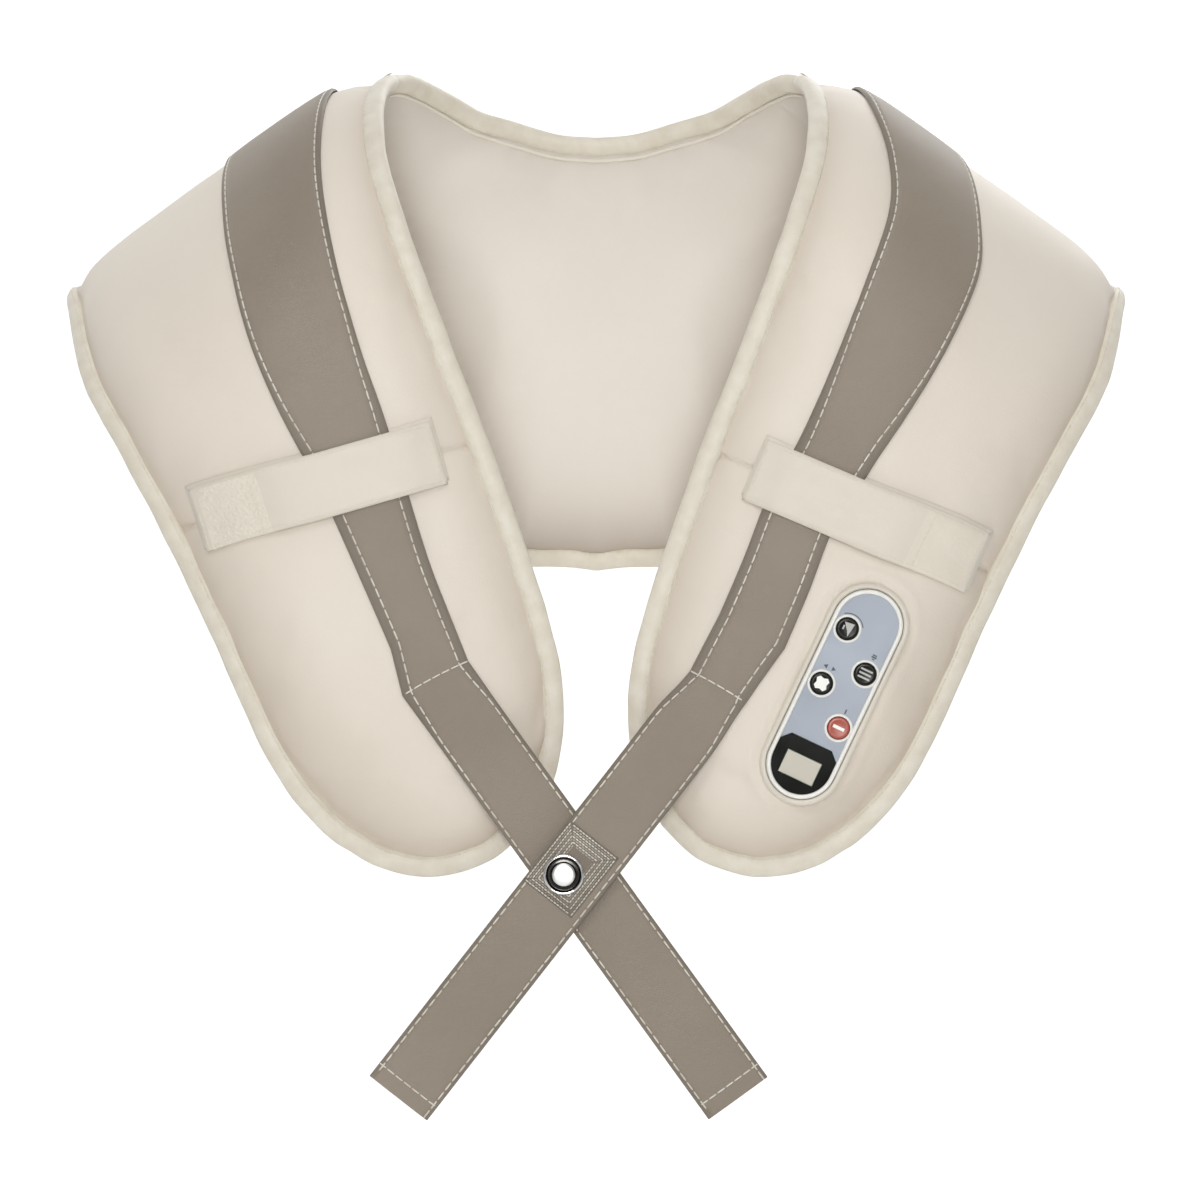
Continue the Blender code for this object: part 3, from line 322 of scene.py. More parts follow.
def through(points, position):
    """Point of a Catmull-Rom curve through the points, at a position counted in points."""
    last = len(points) - 1
    position = min(max(position, 0), last)
    index = min(int(position), last - 1)
    t = position - index
    p0, p1, p2, p3 = (points[min(max(index + k, 0), last)] for k in (-1, 0, 1, 2))
    return tuple(
        0.5 * (2 * b + (c - a) * t + (2 * a - 5 * b + 4 * c - d) * t * t + (3 * b - a - 3 * c + d) * t ** 3)
        for a, b, c, d in zip(p0, p1, p2, p3)
    )


def pattern(u, rib):
    """Flat-pattern point (x, run): u from neck side to hem side, rib negative on the left half."""
    position = abs(rib)
    x0, run0, x1, run1 = through(RIBS, position)
    (corner_x, corner_run), (end_x, end_run) = FOOT_ARC[0], FOOT_ARC[-1]
    arc_x, arc_run = through(FOOT_ARC, u * (len(FOOT_ARC) - 1))
    round_off = float(smooth((position - FOOT + 6) / 6)) ** 2
    x = x0 + u * (x1 - x0) + round_off * (arc_x - corner_x - u * (end_x - corner_x))
    run = run0 + u * (run1 - run0) + round_off * (arc_run - corner_run - u * (end_run - corner_run))
    return math.copysign(x, rib) * MM, run * MM


OUTLINE = np.array([pattern(0, k / 4) for k in range(4 * FOOT)] + [pattern(k / 24, FOOT) for k in range(24)]
                   + [pattern(1, k / 4) for k in range(4 * FOOT, -1, -1)])


def seam_distance(x, run):
    """Distance of each point to the nearest edge of the pattern."""
    points = np.stack([np.abs(x), run], -1)
    start, step = OUTLINE[:-1], OUTLINE[1:] - OUTLINE[:-1]
    length = np.maximum((step ** 2).sum(-1), 1e-12)
    best = np.full(len(points), 1.0)
    for a, d, size in zip(start, step, length):
        t = np.clip(((points - a) @ d) / size, 0, 1)
        best = np.minimum(best, np.linalg.norm(points - a - t[:, None] * d, axis=-1))
    return best


def tip_raised(points, distance=0.0):
    """Lifts the seam round each shoulder tip, and less so the cloth further in."""
    share = smooth((np.abs(points[:, 0]) - TIP_START) / (20 * MM)) * bell(points[:, 1], 45 * MM)
    share = share * (1 - smooth(distance / TIP_FADE))
    side = np.sign(points[:, 0])
    return points + share[:, None] * np.stack([side, 0 * side, 0 * side + 1], -1) * TIP_LIFT


def back_share(run):
    return smooth((-np.asarray(run) - 40 * MM) / (80 * MM))


def crown(distance, x, run, front_height, back_height):
    """Height of a stuffed panel: steep beside the tape, level further in, fullest at the shoulder tips."""
    height = front_height + (back_height - front_height) * back_share(run)
    tip = 0.45 * smooth((np.abs(x) - TIP_X) / (22 * MM)) * bell(run, 55 * MM)
    rise = (distance - TAPE_IN * (1 - 0.7 * tip)) / (RISE_RUN * (1 - 0.4 * tip))
    return EDGE + (height - EDGE) * np.sin(np.clip(rise, 0, 1) * np.pi / 2) ** 0.8


def dome(x, run):
    point = cloth(x, run)
    distance = np.hypot(np.abs(point[..., 0]) - HEAD_X, point[..., 2] - HEAD_Z)
    return np.where(np.asarray(run) > 0, 0, DOME * smooth((DOME_R + DOME_RUN - distance) / DOME_RUN))


def heights(cover, x, run, blur_rows, blur_columns):
    """Smoothed height of the cover's outer face over a grid, never below the face itself."""
    base, normal = cloth(x, run), outward(x, run)
    high = 60 * MM
    raw = np.empty(x.shape)
    for at in np.ndindex(x.shape):
        hit = cover.ray_cast(Vector(base[at] + normal[at] * high), Vector(-normal[at]))
        raw[at] = high - hit[3] if hit[0] else FRONT_CROWN
    return np.maximum(blurred(raw, blur_rows, blur_columns), blurred(raw, 0.7, 0.7)), base, normal


def blurred(table, along, across):
    """Gaussian blur of a grid, with its ends repeated."""
    for width in (along, across):
        reach = int(3 * width) + 1
        weights = np.exp(-0.5 * (np.arange(-reach, reach + 1) / width) ** 2)
        weights /= weights.sum()
        padded, size = np.pad(table, ((reach, reach), (0, 0)), "edge"), len(table)
        table = sum(w * padded[k:k + size] for k, w in enumerate(weights)).T
    return table


# ---- mesh helpers

def piece(name, verts, faces, looks, slots=None, flat=False, crease=180):
    """Mesh object with outward normals, and sharp edges where faces meet at more than the crease angle.
    slots gives each face's material index."""
    data = bpy.data.meshes.new(name)
    data.from_pydata([tuple(v) for v in verts], [], [tuple(int(k) for k in f) for f in faces])
    for look in looks:
        data.materials.append(look)
    if slots is not None:
        data.polygons.foreach_set("material_index", np.asarray(slots, np.int32))
    data.polygons.foreach_set("use_smooth", np.full(len(data.polygons), not flat))
    bm = bmesh.new()
    bm.from_mesh(data)
    bmesh.ops.recalc_face_normals(bm, faces=bm.faces[:])
    for edge in bm.edges:
        if len(edge.link_faces) == 2 and edge.calc_face_angle(0) > math.radians(crease):
            edge.smooth = False
    bm.to_mesh(data)
    bm.free()
    return linked(name, data)


def linked(name, data):
    made = bpy.data.objects.new(name, data)
    bpy.context.scene.collection.objects.link(made)
    return made


def placed(item, body, slot, *nodes):
    """Gives a piece the body that it rides on and the CAD nodes that it replaces; slot is not used."""
    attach(item, body)
    if nodes:
        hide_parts(*nodes)


def tree_of(data):
    return BVHTree.FromPolygons([v.co[:] for v in data.vertices], [tuple(f.vertices) for f in data.polygons])


class Build:
    """Collects several closed shells with materials into one mesh."""

    def __init__(self):
        self.verts, self.faces, self.slots = [], [], []

    def add(self, verts, faces, slot=0):
        base = len(self.verts)
        self.verts.extend(np.asarray(verts, float).tolist())
        self.faces.extend([[base + k for k in face] for face in faces])
        self.slots.extend(slot if isinstance(slot, list) else [slot] * len(faces))

    def piece(self, name, *looks, **finish):
        return piece(name, self.verts, self.faces, looks, self.slots, **finish)


def wrap(rows, columns, base=0, closed_rows=False, capped=False):
    """Quads of a grid whose columns close on themselves, with a face over each end if capped."""
    faces = []
    for i in range(rows if closed_rows else rows - 1):
        for j in range(columns):
            here, ahead, across = i * columns, (i + 1) % rows * columns, (j + 1) % columns
            faces.append(tuple(base + k for k in (here + j, here + across, ahead + across, ahead + j)))
    if capped:
        faces += [tuple(range(columns))[::-1], tuple(range((rows - 1) * columns, rows * columns))]
    return faces


def ribbon(build, near, far, slots=None):
    """Closed strip between two grids of points [row][column]; slots gives a material to each column gap."""
    near, far = np.asarray(near), np.asarray(far)
    rows, count = near.shape[:2]
    slots = slots or [0] * (count - 1)
    loop = np.concatenate([near, far[:, ::-1]], axis=1)
    faces = wrap(rows, 2 * count)
    band = slots + [slots[-1]] + slots[::-1] + [slots[0]]
    chosen = band * (rows - 1)
    for row, turn in ((0, 1), (rows - 1, -1)):
        for j in range(count - 1):
            quad = [row * 2 * count + k for k in (j, j + 1, 2 * count - 2 - j, 2 * count - 1 - j)]
            faces.append(quad[::turn])
            chosen.append(slots[j])
    build.add(loop.reshape(-1, 3), faces, chosen)


def spaced(step, *tables):
    """Tables of points, resampled at even spacing along the polyline that the first one holds."""
    tables = [np.asarray(table, float) for table in tables]
    along = np.concatenate([[0], np.cumsum(np.linalg.norm(np.diff(tables[0], axis=0), axis=1))])
    stations = np.linspace(0, along[-1], max(int(round(along[-1] / step)), 2) + 1)
    return [np.stack([np.interp(stations, along, column) for column in table.T], -1) for table in tables]


def circle(count):
    """Cosine and sine at even steps round a circle."""
    return [(math.cos(2 * math.pi * k / count), math.sin(2 * math.pi * k / count)) for k in range(count)]


def wobble(*at):
    return noise.noise(Vector(at))


def stitch(build, path, normals, slot, length, gap, radius):
    """Row of sewn stitches along a path, all sizes in mm; each one dips into the cloth at its ends."""
    radius *= MM
    fine, ups = spaced((length + gap) * MM / 8, path, normals)
    bead = ((0, 0.45, -0.5), (1, 0.95, 0), (4, 1.0, 0.35), (6, 0.95, 0), (7, 0.45, -0.5))
    for start in range(0, len(fine) - 7, 8):
        verts = []
        for offset, grow, rise in bead:
            at = start + offset
            up = unit(ups[at])
            side = unit(np.cross(fine[min(at + 1, len(fine) - 1)] - fine[max(at - 1, 0)], up))
            centre = fine[at] + up * rise * radius
            verts += [centre + grow * radius * (x * side * 0.9 + y * up * 0.8) for x, y in circle(6)]
        build.add(verts, wrap(len(bead), 6, capped=True), slot)


def lathe(profile, place, steps=72):
    """Closed solid of revolution about local Z: profile of (radius, height), first and last on the axis."""
    rings = profile[1:-1]
    verts = [place @ Vector((0, 0, profile[0][1])), place @ Vector((0, 0, profile[-1][1]))]
    for radius, height in rings:
        verts += [place @ Vector((radius * x, radius * y, height)) for x, y in circle(steps)]
    last = 2 + (len(rings) - 1) * steps
    faces = wrap(len(rings), steps, 2)
    faces += [(0, 2 + (k + 1) % steps, 2 + k) for k in range(steps)]
    faces += [(1, last + k, last + (k + 1) % steps) for k in range(steps)]
    return verts, faces


def rounded(points, radius, steps=4):
    """Profile in metres from one in mm, with each inner corner replaced by a small curve."""
    made = [points[0]]
    for before, here, after in zip(points, points[1:], points[2:]):
        a, b, c = Vector(before), Vector(here), Vector(after)
        size = min(radius, (a - b).length / 2.2, (c - b).length / 2.2)
        first, second = b + (a - b).normalized() * size, b + (c - b).normalized() * size
        for t in np.linspace(0, 1, steps + 1):
            made.append(first * (1 - t) ** 2 + b * 2 * t * (1 - t) + second * t * t)
    return [(r * MM, h * MM) for r, h in made + [points[-1]]]


def racetrack(half, profile, place, count=30):
    """Closed ring: a closed profile of (radius, height) carried round two half circles."""
    verts = []
    for sign, start in ((1, 0), (-1, math.pi)):
        for angle in start + math.pi * np.arange(count + 1) / count:
            x, y = math.cos(angle), math.sin(angle)
            verts += [place @ Vector((r * x, sign * half + r * y, h)) for r, h in profile]
    return verts, wrap(2 * (count + 1), len(profile), closed_rows=True)


# ---- padded cover

def pod_frame():
    return facing_frame(POD, Vector((math.sin(POD_TILT), 0, math.cos(POD_TILT))))


def pod_radius(points):
    """Distance from the pod's middle line, that line's nearest point, and the points, in the pod's frame."""
    inverse = np.array(pod_frame().inverted())
    local = points @ inverse[:3, :3].T + inverse[:3, 3]
    axis = np.stack([np.zeros(len(local)), np.clip(local[:, 1], -POD_HALF, POD_HALF)], -1)
    return np.linalg.norm(local[:, :2] - axis, axis=-1), axis, local


def keeper_line(side):
    """Where a keeper starts, the ways along and across it, all in x and z, and its length."""
    start, end = np.array(KEEPERS[side]) * MM
    along = unit(end - start)
    return start, along, np.array((-along[1], along[0])), float(np.linalg.norm(end - start))


def simulate(item, pins):
    """Inflates the closed form while its sewn edge stays put, and returns the new positions."""
    item.vertex_groups.new(name="sewn").add([int(k) for k in pins], 1.0, "REPLACE")
    modifier = item.modifiers.new("cloth", "CLOTH")
    settings = modifier.settings
    settings.quality = 5
    settings.mass = 0.25
    settings.use_pressure = True
    settings.uniform_pressure_force = PRESSURE
    settings.tension_stiffness = settings.compression_stiffness = 12
    settings.bending_stiffness = 0.4
    settings.shrink_min = -0.012
    settings.vertex_group_mass = "sewn"
    settings.effector_weights.gravity = 0
    modifier.point_cache.frame_start, modifier.point_cache.frame_end = 1, SIM_FRAMES
    for number in range(1, SIM_FRAMES + 1):
        bpy.context.scene.frame_set(number)
    found = column_of(item.evaluated_get(bpy.context.evaluated_depsgraph_get()).data.vertices, "co")
    item.modifiers.remove(modifier)
    item.vertex_groups.clear()
    bpy.context.scene.frame_set(1)
    return found


def subdivided(item):
    modifier = item.modifiers.new("subdivision", "SUBSURF")
    modifier.levels = modifier.render_levels = 1
    data = bpy.data.meshes.new_from_object(item.evaluated_get(bpy.context.evaluated_depsgraph_get()))
    item.modifiers.remove(modifier)
    return data


# Where the lining folds forward beside the front panels; a band of painted shadow follows this line.
FOLD_X = np.array([25.5, 36.5, 49.5, 65.5, 78.5, 88, 96, 98.5]) * MM
FOLD_Z = np.array([-228, -196, -159, -118, -83, -56, -29, -10]) * MM
EDGE_STEPS = (0, 2.4, 4.4, 5.6, 7.0, 9.0, 11.6, 15, 19.4)
INNER_STEPS = 13


def cover_row(rib):
    """Pattern points across the cover, close together beside both edges."""
    reach = math.copysign(min(abs(rib), FOOT - 0.1), rib)
    start, end = np.array(pattern(0, reach)), np.array(pattern(1, reach))
    width = np.linalg.norm(end - start)
    first = [(1.4 + d) * MM / width for d in EDGE_STEPS]
    middle = list(np.linspace(first[-1], 1 - first[-1], INNER_STEPS + 2)[1:-1])
    return [pattern(u, reach) for u in first + middle + [1 - u for u in first[::-1]]]


def make_cover():
    flat = np.array([cover_row(rib) for rib in np.linspace(-FOOT, FOOT, 10 * FOOT + 1)])
    rows, count = flat.shape[:2]
    x, run = flat[..., 0].ravel(), flat[..., 1].ravel()
    distance = seam_distance(x, run)
    base, normal = cloth(x, run), outward(x, run)
    slack = smooth(distance / (12 * MM)) * MM
    top = crown(distance, x, run, FRONT_CROWN, BACK_CROWN) - 1.4 * slack
    low = crown(distance, x, run, FRONT_SKIN, BACK_SKIN) + dome(x, run) - 1.0 * slack
    start = np.concatenate([tip_raised(base + top[:, None] * normal, distance),
                            tip_raised(base - low[:, None] * normal, distance)])
    size = rows * count
    number = np.arange(size).reshape(rows, count)
    corners = number[:-1, :-1], number[:-1, 1:], number[1:, 1:], number[1:, :-1]
    quads = np.stack([corner.ravel() for corner in corners], -1)
    faces = np.stack([quads, size + quads[:, ::-1]], 1).reshape(-1, 4).tolist()
    rim = [*number[:, 0], *number[-1, 1:], *number[-2::-1, -1], *number[0, -2:0:-1]]
    faces += [(a, b, size + b, size + a) for a, b in zip(rim, rim[1:] + rim[:1])]
    item = piece("shawl_cover", start, faces, [COVER, LINING])
    sewn = np.flatnonzero(distance < 4.5 * MM)
    moved = simulate(item, np.concatenate([sewn, size + sewn])) - start
    facing = np.concatenate([normal, -normal])
    out = (moved * facing).sum(-1, keepdims=True)
    aside = moved - out * facing
    length = np.linalg.norm(aside, axis=-1, keepdims=True)
    start = start + np.clip(out, *SWELL) * facing + unit(aside) * np.minimum(length, MOST_ASIDE)
    item.data.vertices.foreach_set("co", start.ravel())
    item.data = subdivided(item)
    finish_cover(item.data)
    placed(item, "shawl", "cover", "outer_cover", "inner_lining")
    return item


def refined(mesh):
    """Adds edges along the two sewn-in seams, so that the creases are sharp, and round the pod."""
    bm = bmesh.new()
    bm.from_mesh(mesh)
    for side, sign in SIGN.items():
        start, _, up, _ = keeper_line(side)
        origin, across = Vector((start[0], 0, start[1])), Vector((up[0], 0, up[1]))
        for offset in (-2.4 * MM, -1.0 * MM, 0, 1.0 * MM, 2.4 * MM):
            parts = {}
            for face in bm.faces:
                middle = face.calc_center_median()
                near = abs((middle - origin).dot(across) - offset) < 6 * MM
                if near and middle.x * sign > 0 and middle.y < FRONT_Y:
                    parts.update(dict.fromkeys((face, *face.edges, *face.verts)))
            place = origin + across * offset
            bmesh.ops.bisect_plane(bm, geom=list(parts), plane_co=place, plane_no=across)
    middles = np.array([((e.verts[0].co + e.verts[1].co) / 2)[:] for e in bm.edges])
    close = (pod_radius(middles)[0] < 27 * MM) & (middles[:, 1] < FRONT_Y)
    edges = [e for e, chosen in zip(bm.edges, close) if chosen and e.calc_length() > 1.8 * MM]
    bmesh.ops.subdivide_edges(bm, edges=edges, cuts=1, use_grid_fill=True)
    bmesh.ops.triangulate(bm, faces=[f for f in bm.faces if len(f.verts) > 4])
    bm.to_mesh(mesh)
    bm.free()


def column_of(items, name):
    found = np.empty(3 * len(items))
    items.foreach_get(name, found)
    return found.reshape(-1, 3)


def finish_cover(mesh):
    """Creases, the recess for the pod, soft unevenness, painted edge shade, and the lining's cloth inside."""
    refined(mesh)
    points, normals = column_of(mesh.vertices, "co"), column_of(mesh.vertices, "normal")
    front = (points[:, 1] < FRONT_Y) & (normals[:, 1] < 0.1)
    shift = np.zeros(len(points))
    for side, sign in SIGN.items():
        start, _, up, _ = keeper_line(side)
        across = (points[:, [0, 2]] - start) @ up
        groove = 1.7 * MM * bell(across, 1.1 * MM) + 1.2 * MM * bell(across, 8 * MM)
        shift -= np.where(front & (np.sign(points[:, 0]) == sign), groove, 0)
    soft = np.array([noise.noise(Vector(p) * 22) + 0.5 * noise.noise(Vector(p) * 60) for p in points])
    shift += UNEVEN * soft
    moved = recess(points + normals * shift[:, None], front)
    mesh.vertices.foreach_set("co", moved.ravel())
    mesh.update()
    # Painted shade beside seams and folds, kept as a mesh attribute that the cloth materials read.
    shade = mesh.attributes.new("painted_edge_shade", "FLOAT", "POINT")
    shade.data.foreach_set("value", painted_edge_shade(moved, normals).astype(np.float32))
    facing, centre = column_of(mesh.polygons, "normal"), column_of(mesh.polygons, "center")
    inward = np.where(centre[:, 1] < 0, facing[:, 1] > 0, facing[:, 1] < 0)
    under, upright = facing[:, 2] < -0.3, np.abs(facing[:, 1])
    lining = (inward & (under | (upright > 0.25))) | (under & (upright < 0.25))
    mesh.polygons.foreach_set("material_index", lining.astype(np.int32))


def recess(points, front):
    """The cover sunk below the pod, and drawn in under its rim from a small roll beside it."""
    radius, axis, local = pod_radius(points)
    near = front & (np.abs(local[:, 2]) < POD_REACH)
    around = near & (radius > RIM_IN)
    fall = (1 - smooth((radius - RIM_OUT) / RIM_FALL))[around]
    local[around, 2] += (np.minimum(local[around, 2], RIM_TOP) - local[around, 2]) * fall
    local[around, 2] += ROLL * bell(radius[around] - ROLL_R, 2.2 * MM)
    rim = around & (radius < RIM_OUT)
    local[rim, :2] = axis[rim] + (local[rim, :2] - axis[rim]) * (TUCKED_R / radius[rim])[:, None]
    local[near & ~around, 2] -= SUNK
    frame_out = np.array(pod_frame())
    return local @ frame_out[:3, :3].T + frame_out[:3, 3]


def painted_edge_shade(points, normals):
    """How much painted shade each point takes: beside a seam, more so low on the front, and in a band of
    painted shadow where the lining folds forward.
    """
    front = points[:, 1] < 0
    runs = run_at(points[:, 0], points[:, 2])
    inside = np.abs(points[:, 0])
    distance = seam_distance(inside, np.where(front, runs, -runs))
    low = smooth((-points[:, 2] - 190 * MM) / (110 * MM))
    neck = smooth((points[:, 2] + 100 * MM) / (50 * MM))
    width = np.where(front, 6 * MM + 5 * MM * low, 17 * MM)
    most = np.where(front, 0.6 + 0.2 * low, 0.8 - 0.55 * neck)
    # painted shade, strongest beside a seam and fading inwards
    shade = np.exp(-np.maximum(distance - 4 * MM, 0) / width) * most
    fold = np.interp(points[:, 2], FOLD_Z, FOLD_X) - inside
    # painted shadow of the front panels: a band on the lining along its fold
    band = 0.6 * np.exp(-np.where(fold > 0, fold / (10 * MM), -fold / (28 * MM)))
    return np.where(~front & (normals[:, 1] < 0), np.maximum(shade, band), shade)


# ---- taped edges

def seam_path(parts):
    flat = np.array([pattern(u, rib) for u, rib in parts])
    inner = np.array([pattern(0.5, math.copysign(min(abs(rib), FOOT - 2.5), rib)) for _, rib in parts])
    points, normals = tip_raised(cloth(flat[:, 0], flat[:, 1])), outward(flat[:, 0], flat[:, 1])
    inward = cloth(inner[:, 0], inner[:, 1]) - points
    return spaced(TAPE_STEP * MM, points, normals, inward)


def tape(name, parts, node, stitched):
    """Folded tape over the raw edge: an uneven oval roll, and a row of stitches on each face."""
    points, normals, inward = seam_path(parts)
    ahead = unit(np.gradient(points, axis=0))
    normals = unit(normals - (normals * ahead).sum(1, keepdims=True) * ahead)
    side = np.cross(ahead, normals)
    side *= np.sign((side * inward).sum(1, keepdims=True))
    tips = smooth((np.abs(points[:, 0]) - TIP_START) / (16 * MM)) * bell(points[:, 1], 40 * MM)
    tips = tips[:, None]
    centres = points - 1.8 * MM * tips * side
    slim = 1 - 0.28 * tips
    verts = []
    for k, (here, up, into) in enumerate(zip(centres, normals, side)):
        s = k * TAPE_STEP
        pucker = 1 + 0.07 * wobble(s / 3.1, 0.3, 0) + 0.05 * wobble(s / 9, 7.1, 0)
        sway = 0.35 * wobble(s / 14, 3.7, 0)
        end = min(k, len(points) - 1 - k)
        pinch = (1 if end > 2 else (0.72, 0.9, 0.97)[end]) * float(slim[k, 0])
        for x, y in circle(TAPE_SIDES):
            fold = 0.16 * wobble(s / 2.6, 2 * x, 2 * y)
            high = (3.55 * pucker * (1 + 0.10 * x) + fold) * y
            high = math.copysign(abs(high / 3.6) ** 0.8 * 3.6, high)
            verts.append(here + (into * (1.35 + 4.75 * x + sway) + up * high) * MM * pinch)
    item = piece(name, verts, wrap(len(points), TAPE_SIDES, capped=True), [TAPE])
    placed(item, "shawl", "tape", node)
    sewn = Build()
    for sign in (1, -1):
        line = centres + (side * 4.3 + sign * normals * 3.05) * MM * slim
        stitch(sewn, line, sign * normals + 0.5 * side, 0, 3.2, 1.1, 0.32)
    placed(sewn.piece(stitched, CREAM_THREAD), "shawl", "tape")


def make_piping(parts, cover):
    """Fine piping beside the neck tape, on the lining."""
    points, normals, inward = seam_path(parts[5:-5])
    side = unit(np.cross(np.gradient(points, axis=0), normals))
    side *= np.sign((side * inward).sum(1, keepdims=True))
    line, reach = points + side * 6.5 * MM, 30 * MM
    depth = np.empty((len(points), 1))
    for k, here in enumerate(line):
        hit = cover.ray_cast(Vector(here - reach * normals[k]), Vector(normals[k]))
        depth[k] = reach - hit[3] if hit[0] else 3.5 * MM
    centre = line - (blurred(depth, 1.5, 0.01) + 0.3 * MM) * normals
    verts, last = [], len(centre) - 1
    for k, here in enumerate(centre):
        swell = 0.9 * MM * (1 + 0.08 * math.sin(k * 1.9) + 0.08 * wobble(k / 3, 5.5, 0))
        swell *= 0.35 + 0.65 * min(1, k / 5, (last - k) / 5)
        verts += [here + swell * (x * side[k] + y * normals[k]) for x, y in circle(10)]
    item = piece("neckline_piping", verts, wrap(len(centre), 10, capped=True), [PIPING])
    placed(item, "shawl", "tape")


def make_tapes(cover):
    neck = [(0, float(rib)) for rib in np.linspace(-7.85, 7.85, 140)]
    tape("neckline_tape", neck, "neckline_binding", "neckline_stitches")
    edge = [(0, float(rib)) for rib in np.linspace(7.55, FOOT, 120)]
    edge += [(float(u), FOOT) for u in np.linspace(0, 1, 30)[1:-1]]
    edge += [(1, float(rib)) for rib in np.linspace(FOOT, 0, 200)]
    left = [(u, -rib) for u, rib in edge[-2::-1]]
    tape("hem_tape", edge + left, "hem_binding", "hem_stitches")
    make_piping(neck, cover)
    for side, sign in SIGN.items():
        x, run = pattern(0, sign * 7.9)
        centre, up = cloth(x, run), outward(x, run)
        along = unit(cloth(*pattern(0, sign * 8.4)) - cloth(*pattern(0, sign * 7.4)))
        into = np.cross(along, up)
        into *= math.copysign(1, into[0] * sign)
        tack = Build()
        for k in range(5):
            first = centre + (along * (1.3 * k - 2.6) + up * 3.75) * MM
            row = [first + into * t * MM for t in (-2.2, -0.8, 0.8, 2.4, 4.2)]
            stitch(tack, row, [up] * 5, 0, 5.4, 0.9, 0.38)
        placed(tack.piece(f"{side}_neck_tack", CREAM_THREAD), "shawl", "tape")


# ---- straps

STITCH, PATCH_ROWS = 5, 8
TOP_HEM, SEAM_HEM, LOWER_HEM = 2.0 * MM, 3.7 * MM, 1.9 * MM


def section(width, hem):
    """Stations across a strap and its thickness there: folded edges, a dip at the stitches, a full middle."""
    edge = np.array([0, 0.25, 0.8, *(hem / MM + gap for gap in (-0.6, -0.3, 0, 0.3, 0.7, 2.4))]) * MM
    middle = np.linspace(edge[-1], width - edge[-1], 7)[1:-1]
    stations = np.concatenate([edge, middle, width - edge[::-1]])
    inside = np.minimum(stations, width - stations)
    thick = 0.35 * MM + 1.25 * MM * np.sqrt(np.clip(inside / (0.8 * MM), 0, 1))
    thick -= 0.5 * MM * bell(inside - hem, 0.42 * MM)
    thick += 0.35 * MM * smooth((inside - hem) / (6 * MM))
    return stations / width, thick


def upper_rows(side, cover):
    """Rows of (near points, normals, thickness) from the sewn end on the back down to the seam in front."""
    stations = UPPER[side]
    ends = np.array(sorted((abs(x) * MM, run_at(x * MM, z * MM)) for x, z in SEAMS[side]))
    last = len(stations) - 1
    flats, thicks = [], []
    for position in np.linspace(0, last + 1, 120):
        run, inner, outer = through(stations, float(min(position, last)))
        pair = np.array(((inner, run), (outer, run))) * MM
        pair += (ends - pair) * max(position - last, 0)
        width = float(np.linalg.norm(pair[1] - pair[0]))
        across, thick = section(width, TOP_HEM + (SEAM_HEM - TOP_HEM) * float(smooth((run - 150) / 80)))
        flats.append([pair[0] + (pair[1] - pair[0]) * u for u in across])
        thicks.append(thick)
    flats = np.array(flats)
    x, run = SIGN[side] * flats[..., 0], flats[..., 1]
    height, base, normal = heights(cover, x, run, 5, 3)
    near = base + (height + 0.5 * MM)[..., None] * normal
    return list(zip(near, normal, thicks))


def lower_rows(side, depth, seam):
    """The straight part, from the last row on the cover to the tail."""
    top = seam[0][[0, -1]]
    start = top.mean(0)
    end = np.array((TAILS[side][0] * MM, start[1], TAILS[side][1] * MM))
    length = float(np.linalg.norm(end - start))
    across = np.cross((end - start) / length, (0, 1, 0))
    across *= math.copysign(1, across[0] * SIGN[side])
    halves = across * np.array((-LOWER_HALF, LOWER_HALF))[:, None]
    rows = []
    for t in np.linspace(0, 1, 64)[1:]:
        travel, step = t * length, (end - start) * t
        turn, settle = float(smooth(travel / (26 * MM))), float(smooth(travel / (70 * MM)))
        ends = top + (start + step + halves - top) * turn
        ends[:, 1] += (depth - ends[:, 1]) * settle
        ends += step * (1 - turn) * (1, 0, 1)
        stations, thick = section(2 * LOWER_HALF, SEAM_HEM + (LOWER_HEM - SEAM_HEM) * turn)
        near = np.array([ends[0] + (ends[1] - ends[0]) * u for u in stations])
        sway = [wobble(travel * 22, u * 1.5, 4 if side == "left" else 9) for u in stations]
        near[:, 1] += 0.5 * MM * settle * np.array(sway)
        rows.append((near, np.tile((0.0, -1.0, 0.0), (len(stations), 1)), thick))
    return rows


def make_strap(side, depth, cover):
    upper = upper_rows(side, cover)
    rows = upper + lower_rows(side, depth, upper[-1])
    near, normal, thick = (np.array([row[k] for row in rows]) for k in range(3))
    far = near + normal * thick[..., None]
    count = near.shape[1]
    build = Build()
    ribbon(build, near, far, [1 if min(j, count - 2 - j) < 3 else 0 for j in range(count - 1)])
    for j in (STITCH, count - 1 - STITCH):
        stitch(build, far[:, j] + normal[:, j] * 0.2 * MM, normal[:, j], 2, 4.6, 0.3, 0.4)
    for index in (2, len(upper) - 1, len(rows) - 3):
        line = far[index, 1:-1] + normal[index, 1:-1] * 0.1 * MM
        stitch(build, line, normal[index, 1:-1], 2, 4.2, 0.25, 0.38)
    item = build.piece(f"{side}_strap", WEB, WEB_EDGE, LIGHT_THREAD, crease=50)
    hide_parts(f"{side}_upper_strap", f"{side}_lower_strap")
    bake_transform(item)


def facing_frame(place, up):
    """Local Y along up, X across it, Z away from the wearer."""
    across = Vector((up.z, 0, -up.x))
    turn = Matrix((across, up, across.cross(up))).transposed().to_4x4()
    return Matrix.Translation(place) @ turn


